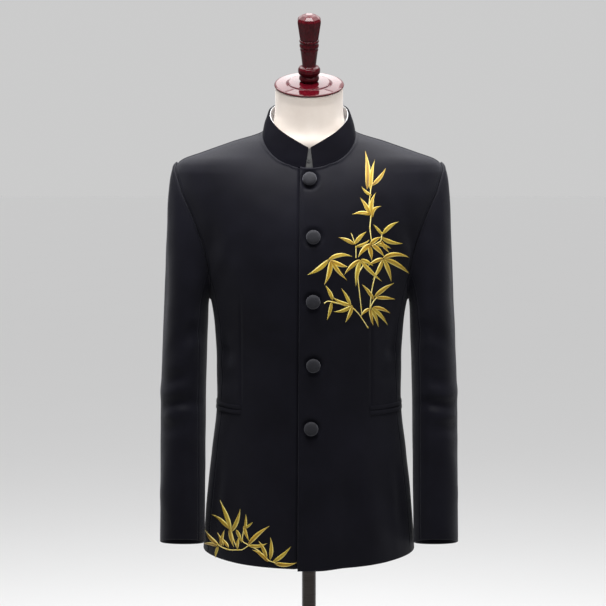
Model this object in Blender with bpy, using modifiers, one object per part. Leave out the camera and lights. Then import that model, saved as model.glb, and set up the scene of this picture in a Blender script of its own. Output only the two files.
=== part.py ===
"""Stand-collar jacket on a limbless dress form with a pole and a round base.

Metres, +Z up. The jacket faces -Y, the pole stands on the Z axis, and the origin is at the
middle of the base's underside. The wearer's left is +X.
"""
import math

import bmesh
import bpy
from mathutils import Matrix, Vector

# Cloth and gaps
WALL = 0.0020
COLLAR_WALL = 0.0024
LINING_WALL = 0.0012
SEAM_GAP = 0.0003
LIE_GAP = 0.0006
ROUNDNESS = 2.2

# Body of the jacket
HEM_Z = 0.5415
HEM_SIDE_RISE = 0.0095
HEM_RISE_TOP = 0.680
LAP_DROP = 0.003
LAP_DROP_FADE = (0.1, 0.3)
LAP_REACH_TOP = 0.0145
LAP_REACH_HEM = 0.0190
UNDERLAP_REACH = 0.020
LAP_LIFT = 0.0026
LAP_FLAT_X = 0.024
LAP_END_X = 0.062
NECK_HALF_WIDTH = 0.075
SIDE_NECK_Z = 1.2465
FRONT_NECK_DROP = 0.0595
BACK_NECK_RISE = 0.0135

# Armhole, an egg seen from the side, laid on the body's surface
ARMHOLE_TOP_Z = 1.193
ARMHOLE_LOW_Z = 0.972
ARMHOLE_FRONT_REACH = 0.066
ARMHOLE_BACK_REACH = 0.064
ARMHOLE_EGG = 0.15
FRONT_JUNCTION = math.radians(128)
BACK_JUNCTION = math.radians(232)
SIDE_FRONT_TURN_HEM = math.radians(70)
SIDE_BACK_TURN_HEM = math.radians(118)

# How finely the cloth is laid out
ROWS_BELOW_ARM = 15
ROWS_ALONG_ARM = 8
ROWS_ON_SHOULDER = 5
FRONT_COLUMNS = 11
BACK_COLUMNS = 8
SIDE_COLUMNS = 4
NECK_FAN_START = 0.86
NECK_SAMPLES = 240
HEAD_ROWS = 7
ARM_ROWS = 13
COLLAR_ROWS = 3
COLLAR_COLUMNS = 38

# Sleeves
HEAD_PULL = 0.32
HEAD_RISE = 0.34
HEAD_DROP_PULL = 0.85
HEAD_LEAVE_X = 0.92
HEAD_ARRIVE_X = 0.08
HIND_SEAM_CUFF = math.radians(-60)
FRONT_SEAM_CUFF = math.radians(138)

# Collar
COLLAR_END_LEFT_LOW = math.radians(4.5)
COLLAR_END_LEFT_TOP = math.radians(1.9)
COLLAR_END_RIGHT_LOW = math.radians(4.9)
COLLAR_END_RIGHT_TOP = math.radians(0.9)
COLLAR_GAP = 0.0008
COLLAR_BULGE = 0.0016
COLLAR_AXIS_Y = 0.010
COLLAR_END_FADE = 8
LINING_GAP = 0.0009
LINING_SHOWS = 0.0012
LINING_SPLIT = math.radians(-9)
LINING_SLIT = math.radians(0.5)
HOOK_ANGLE = math.radians(-0.6)
HOOK_RISE = 0.36
HOOK_DEPTH = 0.0020
HOOK_LEAN = math.radians(-35)
HOOK_WIRE_RADIUS = 0.0006
HOOK_HALF_WIDTH = 0.0021
HOOK_HALF_HEIGHT = 0.0026
HOOK_OPEN_START = math.radians(20)
HOOK_BEND = math.radians(32)
HOOK_POINTS = 11

# Buttons, places on the front by their X and Z
BUTTON_RADIUS = 0.0118
BUTTON_HEIGHT = 0.0062
BUTTON_PLACES = ((0.0005, 1.1680), (0.0064, 1.0770), (0.0061, 0.9750), (0.0064, 0.8720), (0.0030, 0.7690))
CUFF_BUTTON_RADIUS = 0.0062
CUFF_BUTTON_HEIGHT = 0.0042
CUFF_BUTTON_RISE = 0.031
CUFF_BUTTON_TURN = math.radians(-30)

# Hip pockets
WELT_HEIGHT = 0.0076
WELT_SLIT = 0.0006
POCKET_Z = 0.7950
POCKET_LENGTH = 0.138
POCKET_INNER_X = {"left": 0.098, "right": 0.110}
WELT_WALL = 0.0019
WELT_BULGE = 0.0004
WELT_TURN_STEP = math.radians(0.25)
WELT_STEPS = 12

# Dress form and stand
FORM_DROP = 0.0027
FORM_PINCH = 0.0035
FORM_SIDES = 28
CAP_TILT = math.radians(22)
CAP_CENTRE = (0.0, -0.0117, 1.3200)
POLE_RADIUS = 0.0117
POLE_LOW_Z = 0.0363
FLANGE_RADIUS = 0.042
FLANGE_HEIGHT = 0.0045
SOCKET_RADIUS = 0.0190
SOCKET_LOW_RADIUS = 0.0170
SOCKET_HEIGHT = 0.0300
TORSO_LOW_Z = 0.590
FORM_GAP = 0.0003
TURNED_STEPS = 28
CAP_STEPS = 32
STEM_STEPS = 20
BASE_STEPS = 36
BUTTON_STEPS = 16
CUFF_BUTTON_STEPS = 12
SHARP_CORNER = math.radians(25)
SMOOTH_UP_TO = math.radians(40)
SMALL_STEP = 0.01

BODY = ("z", "half_width", "front_y", "side_y", "back_y")
BODY_ROWS = (
    (0.500, 0.1795, -0.1255, 0.004, 0.1280),
    (0.533, 0.1780, -0.1240, 0.004, 0.1255),
    (0.630, 0.1715, -0.1205, 0.004, 0.1210),
    (0.714, 0.1625, -0.1160, 0.004, 0.1110),
    (0.806, 0.1530, -0.1125, 0.003, 0.1010),
    (0.860, 0.1533, -0.1150, 0.003, 0.0990),
    (0.915, 0.1553, -0.1210, 0.003, 0.1050),
    (0.975, 0.1640, -0.1265, 0.003, 0.1150),
    (1.020, 0.1777, -0.1275, 0.005, 0.1210),
    (1.065, 0.1943, -0.1230, 0.008, 0.1240),
    (1.110, 0.2120, -0.1140, 0.010, 0.1230),
    (1.154, 0.2240, -0.1000, 0.012, 0.1160),
    (1.176, 0.2240, -0.0905, 0.013, 0.1090),
    (1.190, 0.2185, -0.0830, 0.014, 0.1030),
    (1.199, 0.2080, -0.0770, 0.014, 0.0985),
    (1.210, 0.1780, -0.0690, 0.015, 0.0925),
    (1.228, 0.1270, -0.0560, 0.017, 0.0840),
    (1.2465, 0.0750, -0.0450, 0.020, 0.0775),
    (1.270, 0.0690, -0.0400, 0.024, 0.0720),
)

# Soft folds that the cloth keeps. Columns: turn, z, half_turn, half_height, depth
BODY_FOLD_ROWS = (
    (math.radians(38), 0.610, math.radians(13), 0.120, 0.0030),
    (math.radians(60), 0.640, math.radians(10), 0.110, -0.0028),
    (math.radians(-36), 0.600, math.radians(12), 0.110, 0.0026),
    (math.radians(-62), 0.650, math.radians(11), 0.120, -0.0030),
    (math.radians(146), 0.620, math.radians(13), 0.130, 0.0032),
    (math.radians(-150), 0.600, math.radians(12), 0.120, 0.0030),
    (math.radians(62), 0.895, math.radians(13), 0.070, -0.0030),
    (math.radians(-60), 0.890, math.radians(12), 0.070, -0.0028),
)

SLEEVE = ("along", "x", "y", "z", "half_x", "half_y", "tilt")
SLEEVE_ROWS = (
    (0.00, 0.2036, 0.0060, 0.955, 0.0362, 0.0720, math.radians(0)),
    (0.14, 0.2060, 0.0045, 0.901, 0.0367, 0.0700, math.radians(2)),
    (0.40, 0.2093, -0.0010, 0.800, 0.0373, 0.0655, math.radians(6)),
    (0.70, 0.2097, -0.0190, 0.685, 0.0371, 0.0580, math.radians(12)),
    (1.00, 0.2096, -0.0440, 0.569, 0.0366, 0.0490, math.radians(17)),
)

# Sleeve folds. Columns: along, angle, half_along, half_angle, depth
SLEEVE_FOLD_ROWS = (
    (0.30, math.radians(70), 0.055, math.radians(75), -0.0032),
    (0.41, math.radians(95), 0.045, math.radians(70), -0.0040),
    (0.36, math.radians(30), 0.050, math.radians(60), 0.0022),
    (0.52, math.radians(60), 0.055, math.radians(65), -0.0026),
    (0.10, math.radians(120), 0.070, math.radians(60), -0.0034),
    (0.16, math.radians(-110), 0.080, math.radians(60), -0.0034),
    (0.80, math.radians(20), 0.060, math.radians(70), 0.0018),
)

COLLAR_TOP = ("turn", "x", "y", "z")
COLLAR_TOP_ROWS = (
    (0.0, 0.0000, -0.0620, 1.2190),
    (18.0, 0.0208, -0.0575, 1.2310),
    (45.0, 0.0468, -0.0395, 1.2480),
    (72.0, 0.0632, -0.0125, 1.2670),
    (90.0, 0.0668, 0.0090, 1.2780),
    (122.0, 0.0580, 0.0420, 1.2900),
    (150.0, 0.0340, 0.0600, 1.2955),
    (180.0, 0.0000, 0.0660, 1.2975),
)

FORM = ("z", "half_width", "front_y", "side_y", "back_y", "roundness")
FORM_ROWS = (
    (0.590, 0.1500, -0.1040, 0.004, 0.1030, 2.2),
    (0.640, 0.1545, -0.1070, 0.004, 0.1060, 2.2),
    (0.714, 0.1500, -0.1040, 0.004, 0.0990, 2.2),
    (0.806, 0.1410, -0.1010, 0.003, 0.0900, 2.2),
    (0.860, 0.1410, -0.1030, 0.003, 0.0880, 2.2),
    (0.915, 0.1440, -0.1090, 0.003, 0.0940, 2.2),
    (0.975, 0.1500, -0.1145, 0.003, 0.1030, 2.2),
    (1.020, 0.1560, -0.1150, 0.005, 0.1090, 2.2),
    (1.065, 0.1625, -0.1100, 0.008, 0.1120, 2.2),
    (1.110, 0.1690, -0.1010, 0.010, 0.1110, 2.2),
    (1.154, 0.1760, -0.0880, 0.012, 0.1040, 2.2),
    (1.176, 0.1790, -0.0780, 0.013, 0.0970, 2.2),
    (1.190, 0.1790, -0.0710, 0.014, 0.0900, 2.1),
    (1.203, 0.1785, -0.0600, 0.015, 0.0820, 1.9),
    (1.214, 0.1700, -0.0540, 0.016, 0.0760, 1.7),
    (1.224, 0.1430, -0.0505, 0.016, 0.0710, 1.55),
    (1.2295, 0.1150, -0.0495, 0.0155, 0.0685, 1.5),
    (1.2335, 0.0820, -0.0490, 0.0130, 0.0665, 1.6),
    (1.2370, 0.0705, -0.0490, 0.0105, 0.0650, 1.75),
    (1.2430, 0.0640, -0.0490, 0.0080, 0.0630, 1.95),
    (1.2500, 0.0605, -0.0500, 0.0055, 0.0610, 2.05),
)
FORM_EXTRA_LEVELS = (0.766, 0.945, 1.045, 1.132, 1.1965, 1.209, 1.219)

# The neck leans forward. Columns: z, centre_y, half_width, half_depth, tilt
NECK_ROWS = (
    (1.2600, 0.0042, 0.0590, 0.0550, math.radians(5)),
    (1.2760, 0.0015, 0.0562, 0.0552, math.radians(10)),
    (1.2980, -0.0040, 0.0555, 0.0556, math.radians(17)),
    (1.3195, -0.0116, 0.0555, 0.0560, math.radians(22)),
)

# Turned profiles from the top down. Columns: height, radius
CAP_PROFILE = (
    (0.0078, 0.0000), (0.0078, 0.0330), (0.0072, 0.0352), (0.0052, 0.0360), (0.0048, 0.0380),
    (0.0046, 0.0545), (0.0038, 0.0566), (0.0022, 0.0573), (0.0007, 0.0564), (0.0003, 0.0545),
    (0.0003, 0.0000),
)
STEM_PROFILE = (
    (0.0790, 0.0000), (0.0790, 0.0150), (0.0778, 0.0160), (0.0755, 0.0160), (0.0740, 0.0149),
    (0.0722, 0.0149), (0.0706, 0.0158), (0.0672, 0.0157), (0.0655, 0.0146), (0.0638, 0.0146),
    (0.0622, 0.0150), (0.0592, 0.0141), (0.0440, 0.0122), (0.0355, 0.0113), (0.0340, 0.0126),
    (0.0325, 0.0160), (0.0295, 0.0180), (0.0255, 0.0183), (0.0215, 0.0172), (0.0190, 0.0142),
    (0.0180, 0.0142), (0.0165, 0.0158), (0.0135, 0.0165), (0.0110, 0.0160), (0.0092, 0.0146),
    (0.0081, 0.0140), (0.0081, 0.0000),
)
# The finial's eight-sided head. Columns: height, radius
FINIAL_HEAD_ROWS = (
    (0.0793, 0.0155), (0.0830, 0.0164), (0.1080, 0.0202), (0.1115, 0.0204),
    (0.1150, 0.0185), (0.1195, 0.0120), (0.1215, 0.0055),
)
FINIAL_SIDES = 8
FINIAL_EDGE = 0.0007
BASE_PROFILE = (
    (0.0360, 0.0000), (0.0360, 0.0190), (0.0345, 0.0205), (0.0150, 0.0225), (0.0120, 0.0270),
    (0.0100, 0.0340), (0.0090, 0.1640), (0.0075, 0.1685), (0.0050, 0.1700), (0.0000, 0.1690),
    (0.0000, 0.0000),
)

MATERIALS = {
    "wool": ((0.012, 0.012, 0.016), 0.75, 0.0),
    "lining": ((0.80, 0.79, 0.77), 0.70, 0.0),
    "button_cloth": ((0.012, 0.012, 0.016), 0.65, 0.0),
    "hook_metal": ((0.10, 0.10, 0.11), 0.35, 1.0),
    "form_cloth": ((0.78, 0.72, 0.66), 0.80, 0.0),
    "lacquer": ((0.16, 0.012, 0.018), 0.12, 0.0),
    "steel": ((0.32, 0.31, 0.31), 0.30, 1.0),
}


def slope_between(left, right, width_left, width_right):
    """Weighted harmonic mean of two slopes, or 0 where they differ in sign."""
    if left * right <= 0.0:
        return 0.0
    weight_left = 2 * width_right + width_left
    weight_right = width_right + 2 * width_left
    return (weight_left + weight_right) / (weight_left / left + weight_right / right)


class Table:
    """Rows under named columns, read smoothly along the first column."""

    def __init__(self, names, rows):
        self.places = [row[0] for row in rows]
        self.columns = {name: [row[i] for row in rows] for i, name in enumerate(names)}
        self.slopes = {name: self.column_slopes(values) for name, values in self.columns.items()}

    def column_slopes(self, values):
        widths = [b - a for a, b in zip(self.places, self.places[1:])]
        rises = [(b - a) / w for a, b, w in zip(values, values[1:], widths)]
        inner = [
            slope_between(rises[i], rises[i + 1], widths[i], widths[i + 1]) for i in range(len(rises) - 1)
        ]
        return [rises[0]] + inner + [rises[-1]]

    def read(self, name, place):
        """The column's value at a place, and its slope there."""
        place = min(max(place, self.places[0]), self.places[-1])
        i = 0
        while i < len(self.places) - 2 and place > self.places[i + 1]:
            i += 1
        width = self.places[i + 1] - self.places[i]
        s = (place - self.places[i]) / width
        values = self.columns[name]
        slopes = self.slopes[name]
        value = (
            (2 * s**3 - 3 * s**2 + 1) * values[i]
            + (s**3 - 2 * s**2 + s) * width * slopes[i]
            + (3 * s**2 - 2 * s**3) * values[i + 1]
            + (s**3 - s**2) * width * slopes[i + 1]
        )
        slope = (
            (6 * s**2 - 6 * s) * values[i] / width
            + (3 * s**2 - 4 * s + 1) * slopes[i]
            + (6 * s - 6 * s**2) * values[i + 1] / width
            + (3 * s**2 - 2 * s) * slopes[i + 1]
        )
        return value, slope

    def value(self, name, place):
        return self.read(name, place)[0]


body_table = Table(BODY, BODY_ROWS)
sleeve_table = Table(SLEEVE, SLEEVE_ROWS)
collar_table = Table(COLLAR_TOP, COLLAR_TOP_ROWS)
form_table = Table(FORM, FORM_ROWS)


def signed_power(value, power):
    return math.copysign(abs(value) ** power, value)


def smooth_step(low, high, value):
    s = min(max((value - low) / (high - low), 0.0), 1.0)
    return s * s * (3 - 2 * s)


def blend(start, end, share):
    return start + (end - start) * share


def soft_hump(value, middle, half_width):
    """1 in the middle, falling softly to 0 at the half width."""
    distance = abs(value - middle) / half_width
    return 0.0 if distance >= 1.0 else math.cos(distance * math.pi / 2) ** 2


# The jacket's body: a superellipse at each height. A turn of 0 faces front, 90 degrees the side.

def section_point(table, turn, z):
    """A point of the section at this height, on the side that the turn's sign gives."""
    half = table.value("half_width", z)
    side_y = table.value("side_y", z)
    end_y = table.value("front_y" if math.cos(turn) > 0 else "back_y", z)
    x = half * signed_power(math.sin(turn), 2 / ROUNDNESS)
    y = side_y + (end_y - side_y) * abs(math.cos(turn)) ** (2 / ROUNDNESS)
    return Vector((x, y, z))


def body_normal(turn, z):
    """The outward normal of the body's surface, from the section's formula."""
    half, half_slope = body_table.read("half_width", z)
    side_y, side_slope = body_table.read("side_y", z)
    end_y, end_slope = body_table.read("front_y" if math.cos(turn) > 0 else "back_y", z)
    depth = end_y - side_y
    depth_slope = end_slope - side_slope
    u = abs(math.sin(turn)) ** (2 / ROUNDNESS)
    v = abs(math.cos(turn)) ** (2 / ROUNDNESS)
    grad_x = math.copysign(u ** (ROUNDNESS - 1) / half, math.sin(turn))
    grad_y = v ** (ROUNDNESS - 1) / depth
    grad_z = -(u**ROUNDNESS) * half_slope / half - v**ROUNDNESS * depth_slope / depth - grad_y * side_slope
    return Vector((grad_x, grad_y, grad_z)).normalized()


def body_fold(turn, z):
    """How far the soft folds stand out or in."""
    total = 0.0
    for fold_turn, fold_z, half_turn, half_height, depth in BODY_FOLD_ROWS:
        total += depth * soft_hump(turn, fold_turn, half_turn) * soft_hump(z, fold_z, half_height)
    return total


def body_point(turn, z, out=0.0):
    point = section_point(body_table, turn, z)
    return point + body_normal(turn, z) * (body_fold(turn, z) + out)


def turn_at_x(x, z):
    """The front turn at which the section passes through this x."""
    share = min(abs(x) / body_table.value("half_width", z), 1.0)
    return math.copysign(math.asin(share ** (ROUNDNESS / 2)), x)


def lap_lift(x):
    """The left front stands off by this much where it laps over the right one."""
    return LAP_LIFT * (1 - smooth_step(LAP_FLAT_X, LAP_END_X, x))


# The armhole, by an angle that is 0 at the shoulder tip, 90 degrees in front, 180 under the arm

def armhole_place(angle):
    """Turn and height of the armhole's point, for the +X side."""
    middle = (ARMHOLE_TOP_Z + ARMHOLE_LOW_Z) / 2
    z = middle + (ARMHOLE_TOP_Z - ARMHOLE_LOW_Z) / 2 * math.cos(angle)
    in_front = math.sin(angle) > 0
    reach = ARMHOLE_FRONT_REACH if in_front else ARMHOLE_BACK_REACH
    off = reach * abs(math.sin(angle)) * (1 - ARMHOLE_EGG * math.cos(angle))
    side_y = body_table.value("side_y", z)
    end_y = body_table.value("front_y" if in_front else "back_y", z)
    turn = math.acos((off / abs(end_y - side_y)) ** (ROUNDNESS / 2))
    return (turn if in_front else math.pi - turn), z


def armhole_angle(z):
    middle = (ARMHOLE_TOP_Z + ARMHOLE_LOW_Z) / 2
    half = (ARMHOLE_TOP_Z - ARMHOLE_LOW_Z) / 2
    return math.acos(min(max((z - middle) / half, -1.0), 1.0))


FRONT_JUNCTION_TURN, JUNCTION_Z = armhole_place(FRONT_JUNCTION)
BACK_JUNCTION_TURN = armhole_place(BACK_JUNCTION)[0]


def front_edge_turn(z):
    """The front panel's outer edge: side seam, armhole, then the shoulder."""
    if z <= JUNCTION_Z:
        share = (z - HEM_Z) / (JUNCTION_Z - HEM_Z)
        return blend(SIDE_FRONT_TURN_HEM, FRONT_JUNCTION_TURN, share)
    if z < ARMHOLE_TOP_Z:
        return armhole_place(armhole_angle(z))[0]
    return math.pi / 2


def back_edge_turn(z):
    """The back panel's outer edge: side seam, armhole, then the shoulder."""
    if z <= JUNCTION_Z:
        share = (z - HEM_Z) / (JUNCTION_Z - HEM_Z)
        return blend(SIDE_BACK_TURN_HEM, BACK_JUNCTION_TURN, share)
    if z < ARMHOLE_TOP_Z:
        return armhole_place(2 * math.pi - armhole_angle(z))[0]
    return math.pi / 2


def edge_heights():
    """Heights of the rows where they meet the panel's outer edge."""
    heights = [blend(HEM_Z, JUNCTION_Z, i / ROWS_BELOW_ARM) for i in range(ROWS_BELOW_ARM)]
    for i in range(ROWS_ALONG_ARM):
        heights.append(armhole_place(blend(FRONT_JUNCTION, 0.0, i / ROWS_ALONG_ARM))[1])
    for i in range(ROWS_ON_SHOULDER + 1):
        heights.append(blend(ARMHOLE_TOP_Z, SIDE_NECK_Z, i / ROWS_ON_SHOULDER))
    return heights


def front_neck_z(angle):
    return SIDE_NECK_Z - FRONT_NECK_DROP * math.cos(angle)


def back_neck_z(angle):
    return SIDE_NECK_Z + BACK_NECK_RISE * math.cos(angle)


def solve(function, low, high):
    """Where a rising function passes through 0."""
    for _ in range(50):
        middle = (low + high) / 2
        if function(middle) < 0.0:
            low = middle
        else:
            high = middle
    return (low + high) / 2


def neck_point(angle, side, out=0.0):
    """The neckline's point and the body's normal there."""
    if angle <= math.pi / 2:
        z = front_neck_z(angle)
        turn = turn_at_x(NECK_HALF_WIDTH * math.sin(angle), z)
    else:
        z = back_neck_z(math.pi - angle)
        turn = math.pi - math.asin(math.sin(math.pi - angle) ** (ROUNDNESS / 2))
    return body_point(turn * side, z, out), body_normal(turn * side, z)


def even_neck_angles(start, end, count):
    """Neckline angles from start to end that lie evenly along it. Both sides are alike."""
    samples = [blend(start, end, i / NECK_SAMPLES) for i in range(NECK_SAMPLES + 1)]
    points = [neck_point(abs((angle + math.pi) % (2 * math.pi) - math.pi), 1)[0] for angle in samples]
    lengths = [0.0]
    for a, b in zip(points, points[1:]):
        lengths.append(lengths[-1] + (b - a).length)
    angles = []
    i = 0
    for step in range(count + 1):
        goal = lengths[-1] * step / count
        while i < NECK_SAMPLES - 1 and lengths[i + 1] < goal:
            i += 1
        share = (goal - lengths[i]) / (lengths[i + 1] - lengths[i])
        angles.append(blend(samples[i], samples[i + 1], min(share, 1.0)))
    return angles


def front_start_turn(z, reach_top, reach_hem):
    """Where the front's free edge runs, on the far side of the centre."""
    reach = blend(reach_hem, reach_top, (z - HEM_Z) / (SIDE_NECK_Z - HEM_Z))
    return -turn_at_x(reach, z)


def front_turn(share, z, reach_top, reach_hem):
    start = front_start_turn(z, reach_top, reach_hem)
    return blend(start, front_edge_turn(z), share)


def front_top(angle, reach_top, reach_hem):
    """Where one column meets the neckline: its height, and its share of the way to the outer edge."""
    z = front_neck_z(angle)
    start = front_start_turn(z, reach_top, reach_hem)
    turn = turn_at_x(NECK_HALF_WIDTH * math.sin(angle), z)
    return z, (turn - start) / (front_edge_turn(z) - start)


def back_top(share):
    def miss(angle):
        z = back_neck_z(angle)
        return math.asin(math.sin(angle) ** (ROUNDNESS / 2)) - share * (math.pi - back_edge_turn(z))
    return back_neck_z(solve(miss, 0.0, math.pi / 2))


def mirrored(point, side):
    return Vector((point.x * side, point.y, point.z))


def side_body(turn, z, side, out):
    """A body point and normal, where turns run towards the given side."""
    point = body_point(turn * side, z, out)
    return point, body_normal(turn * side, z)


# Sheets of points. Each is a list of rows of (point, outward normal) pairs.

def raised_hem(turn, z):
    """The height with the hem's climb from the front to the sides."""
    return z + HEM_SIDE_RISE * math.sin(turn) ** 2 * (1 - smooth_step(HEM_Z, HEM_RISE_TOP, z))


def front_sheet(side, reach_top, reach_hem, lift, drop):
    angles = even_neck_angles(-math.asin(reach_top / NECK_HALF_WIDTH), math.pi / 2, FRONT_COLUMNS)
    sheet = []
    for edge_z in edge_heights():
        climb = (edge_z - HEM_Z) / (SIDE_NECK_Z - HEM_Z)
        row = []
        for i in range(FRONT_COLUMNS + 1):
            share = i / FRONT_COLUMNS
            low_z = HEM_Z - drop * (1 - smooth_step(*LAP_DROP_FADE, share))
            top_z, top_share = front_top(angles[i], reach_top, reach_hem)
            z = blend(low_z, top_z, climb)
            share = blend(share, top_share, smooth_step(NECK_FAN_START, 1.0, climb))
            turn = front_turn(share, z, reach_top, reach_hem)
            x = section_point(body_table, turn, z).x
            row.append(side_body(turn, raised_hem(turn, z), side, lap_lift(x) if lift else 0.0))
        sheet.append(row)
    return sheet


def back_sheet(side):
    sheet = []
    for edge_z in edge_heights():
        climb = (edge_z - HEM_Z) / (SIDE_NECK_Z - HEM_Z)
        row = []
        for i in range(BACK_COLUMNS + 1):
            share = 1 - i / BACK_COLUMNS
            z = blend(HEM_Z, back_top(share), climb)
            turn = math.pi - share * (math.pi - back_edge_turn(z))
            row.append(side_body(turn, raised_hem(turn, z), side, 0.0))
        sheet.append(row)
    return sheet


def side_sheet(side):
    sheet = []
    for j in range(ROWS_BELOW_ARM + 1):
        climb = j / ROWS_BELOW_ARM
        row = []
        for i in range(SIDE_COLUMNS + 1):
            share = i / SIDE_COLUMNS
            top_turn, top_z = armhole_place(blend(FRONT_JUNCTION, BACK_JUNCTION, share))
            z = blend(HEM_Z, top_z, climb)
            turn = blend(front_edge_turn(min(z, JUNCTION_Z)), back_edge_turn(min(z, JUNCTION_Z)), share)
            top_plain = blend(FRONT_JUNCTION_TURN, BACK_JUNCTION_TURN, share)
            turn += (top_turn - top_plain) * climb**3
            row.append(side_body(turn, raised_hem(turn, z), side, 0.0))
        sheet.append(row)
    return sheet


# Sleeves, built for the +X side and mirrored

def sleeve_ring_point(angle, along):
    """A point of the sleeve's oval below the armpit. An angle of 0 is outside, 90 degrees in front."""
    centre = Vector([sleeve_table.value(name, along) for name in ("x", "y", "z")])
    half_x = sleeve_table.value("half_x", along)
    half_y = sleeve_table.value("half_y", along)
    tilt = sleeve_table.value("tilt", along)
    across = half_x * signed_power(math.cos(angle), 2 / ROUNDNESS)
    forward = half_y * signed_power(math.sin(angle), 2 / ROUNDNESS)
    outward = Vector((math.cos(angle) / half_x, -math.sin(angle) / half_y, 0.0)).normalized()
    folds = 0.0
    for fold_along, fold_angle, half_along, half_angle, depth in SLEEVE_FOLD_ROWS:
        away = (angle - fold_angle + math.pi) % (2 * math.pi) - math.pi
        folds += depth * soft_hump(along, fold_along, half_along) * soft_hump(away, 0.0, half_angle)
    lean = Vector((across, -forward * math.cos(tilt), forward * math.sin(tilt)))
    return centre + lean + outward * folds


def armhole_point(angle):
    turn, z = armhole_place(angle)
    return body_point(turn, z)


def sleeve_head_point(top_angle, angle, share):
    """A point between the armhole and the sleeve's first oval, on a smooth curve."""
    start = armhole_point(top_angle)
    end = sleeve_ring_point(angle, 0.0)
    length = (end - start).length
    radial = Vector((0.0, -math.sin(top_angle), math.cos(top_angle)))
    leave = (Vector((HEAD_LEAVE_X, 0.0, 0.0)) + radial * HEAD_RISE) * (HEAD_PULL * length)
    arrive = Vector((HEAD_ARRIVE_X, 0.0, -1.0)) * (HEAD_DROP_PULL * length)
    s = share
    return (
        start * (2 * s**3 - 3 * s**2 + 1)
        + leave * (s**3 - 2 * s**2 + s)
        + end * (3 * s**2 - 2 * s**3)
        + arrive * (s**3 - s**2)
    )


def sleeve_angles():
    """Armhole angles of the sleeve's columns, from the hind seam over the top to the front seam."""
    front = [blend(0.0, FRONT_JUNCTION, i / ROWS_ALONG_ARM) for i in range(ROWS_ALONG_ARM + 1)]
    back = [-angle for angle in reversed(front[1:])]
    under = [blend(FRONT_JUNCTION, BACK_JUNCTION, i / SIDE_COLUMNS) for i in range(1, SIDE_COLUMNS + 1)]
    top = back[1:] + front
    low = [FRONT_JUNCTION] + under + [back[1] + 2 * math.pi]
    return top, low


def sleeve_point(angles, i, cuff_start, cuff_end, down):
    """down runs from 0 at the armhole over 1 at the first oval to 2 at the cuff; i may be a fraction."""
    low = min(int(i), len(angles) - 2)
    share = i - low
    top_angle = blend(angles[low], angles[low + 1], share)
    cuff = blend(cuff_start, cuff_end, i / (len(angles) - 1))
    angle = blend(top_angle, cuff, smooth_step(0.0, 2.0, down))
    if down < 1.0:
        return sleeve_head_point(top_angle, blend(top_angle, cuff, smooth_step(0.0, 2.0, 1.0)), down)
    return sleeve_ring_point(angle, down - 1.0)


def sleeve_sheet(side, angles, cuff_start, cuff_end):
    downs = [i / HEAD_ROWS for i in range(HEAD_ROWS)]
    downs += [1 + i / ARM_ROWS for i in range(ARM_ROWS + 1)]
    step = SMALL_STEP
    sheet = []
    for down in reversed(downs):
        row = []
        for i in range(len(angles)):
            def at(column, place):
                return sleeve_point(angles, column, cuff_start, cuff_end, place)
            point = at(i, down)
            column_low = max(i - step, 0)
            column_high = min(i + step, len(angles) - 1)
            round_step = at(column_high, down) - at(column_low, down)
            down_low = max(down - step, 0.0)
            down_high = min(down + step, 2.0)
            down_step = at(i, down_high) - at(i, down_low)
            normal = round_step.cross(down_step).normalized()
            row.append((mirrored(point, side), mirrored(normal, side)))
        sheet.append(row)
    return sheet


# Collar. Its angle is 0 at the front centre and 180 degrees at the back, on both sides.

def collar_top_point(angle, side):
    degrees = math.degrees(angle)
    x = collar_table.value("x", degrees)
    return Vector((x * side, collar_table.value("y", degrees), collar_table.value("z", degrees)))


def collar_point(angle, rise, lapped=True):
    """A point of the collar's outer face. angle runs from minus pi (back) over 0 (front) to pi."""
    angle = (angle + math.pi) % (2 * math.pi) - math.pi
    side = 1 if angle >= 0 else -1
    turn = abs(angle)
    lifted = lapped and side > 0 and turn < math.pi / 2
    lift = lap_lift(NECK_HALF_WIDTH * math.sin(turn)) if lifted else 0.0
    low, normal = neck_point(turn, side, lift)
    ahead = neck_point(min(turn + SMALL_STEP, math.pi), side, lift)[0]
    behind = neck_point(max(turn - SMALL_STEP, 0.0), side, lift)[0]
    along = (ahead - behind).normalized() * side
    up_slope = normal.cross(along).normalized()
    if up_slope.z < 0:
        up_slope = -up_slope
    low = low + up_slope * COLLAR_GAP
    top = collar_top_point(turn, side)
    outward = Vector((low.x, low.y - COLLAR_AXIS_Y, 0.0)).normalized()
    return low.lerp(top, rise) + outward * (COLLAR_BULGE * 4 * rise * (1 - rise))


def collar_normal(angle, rise):
    step = SMALL_STEP
    round_step = collar_point(angle + step, rise) - collar_point(angle - step, rise)
    up_step = collar_point(angle, min(rise + step, 1.0)) - collar_point(angle, max(rise - step, 0.0))
    normal = round_step.cross(up_step).normalized()
    reference = collar_point(angle, rise) - Vector((0.0, COLLAR_AXIS_Y, collar_point(angle, rise).z))
    return normal if normal.dot(reference) > 0 else -normal


def collar_angles(rise):
    """Angles of the collar's columns, from the wearer's left front end round to the right one."""
    low = even_neck_angles(COLLAR_END_LEFT_LOW, 2 * math.pi - COLLAR_END_RIGHT_LOW, COLLAR_COLUMNS)
    start_move = (COLLAR_END_LEFT_TOP - COLLAR_END_LEFT_LOW) * rise
    end_move = (COLLAR_END_RIGHT_LOW - COLLAR_END_RIGHT_TOP) * rise
    angles = []
    for i, angle in enumerate(low):
        share = i / COLLAR_COLUMNS
        move = start_move * (1 - share) ** COLLAR_END_FADE + end_move * share**COLLAR_END_FADE
        angles.append(angle + move)
    return angles


def collar_sheet():
    rises = [j / COLLAR_ROWS for j in range(COLLAR_ROWS + 1)]
    sheet = []
    for rise in rises:
        angles = collar_angles(rise)
        sheet.append([(collar_point(angle, rise), collar_normal(angle, rise)) for angle in angles])
    return sheet


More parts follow.
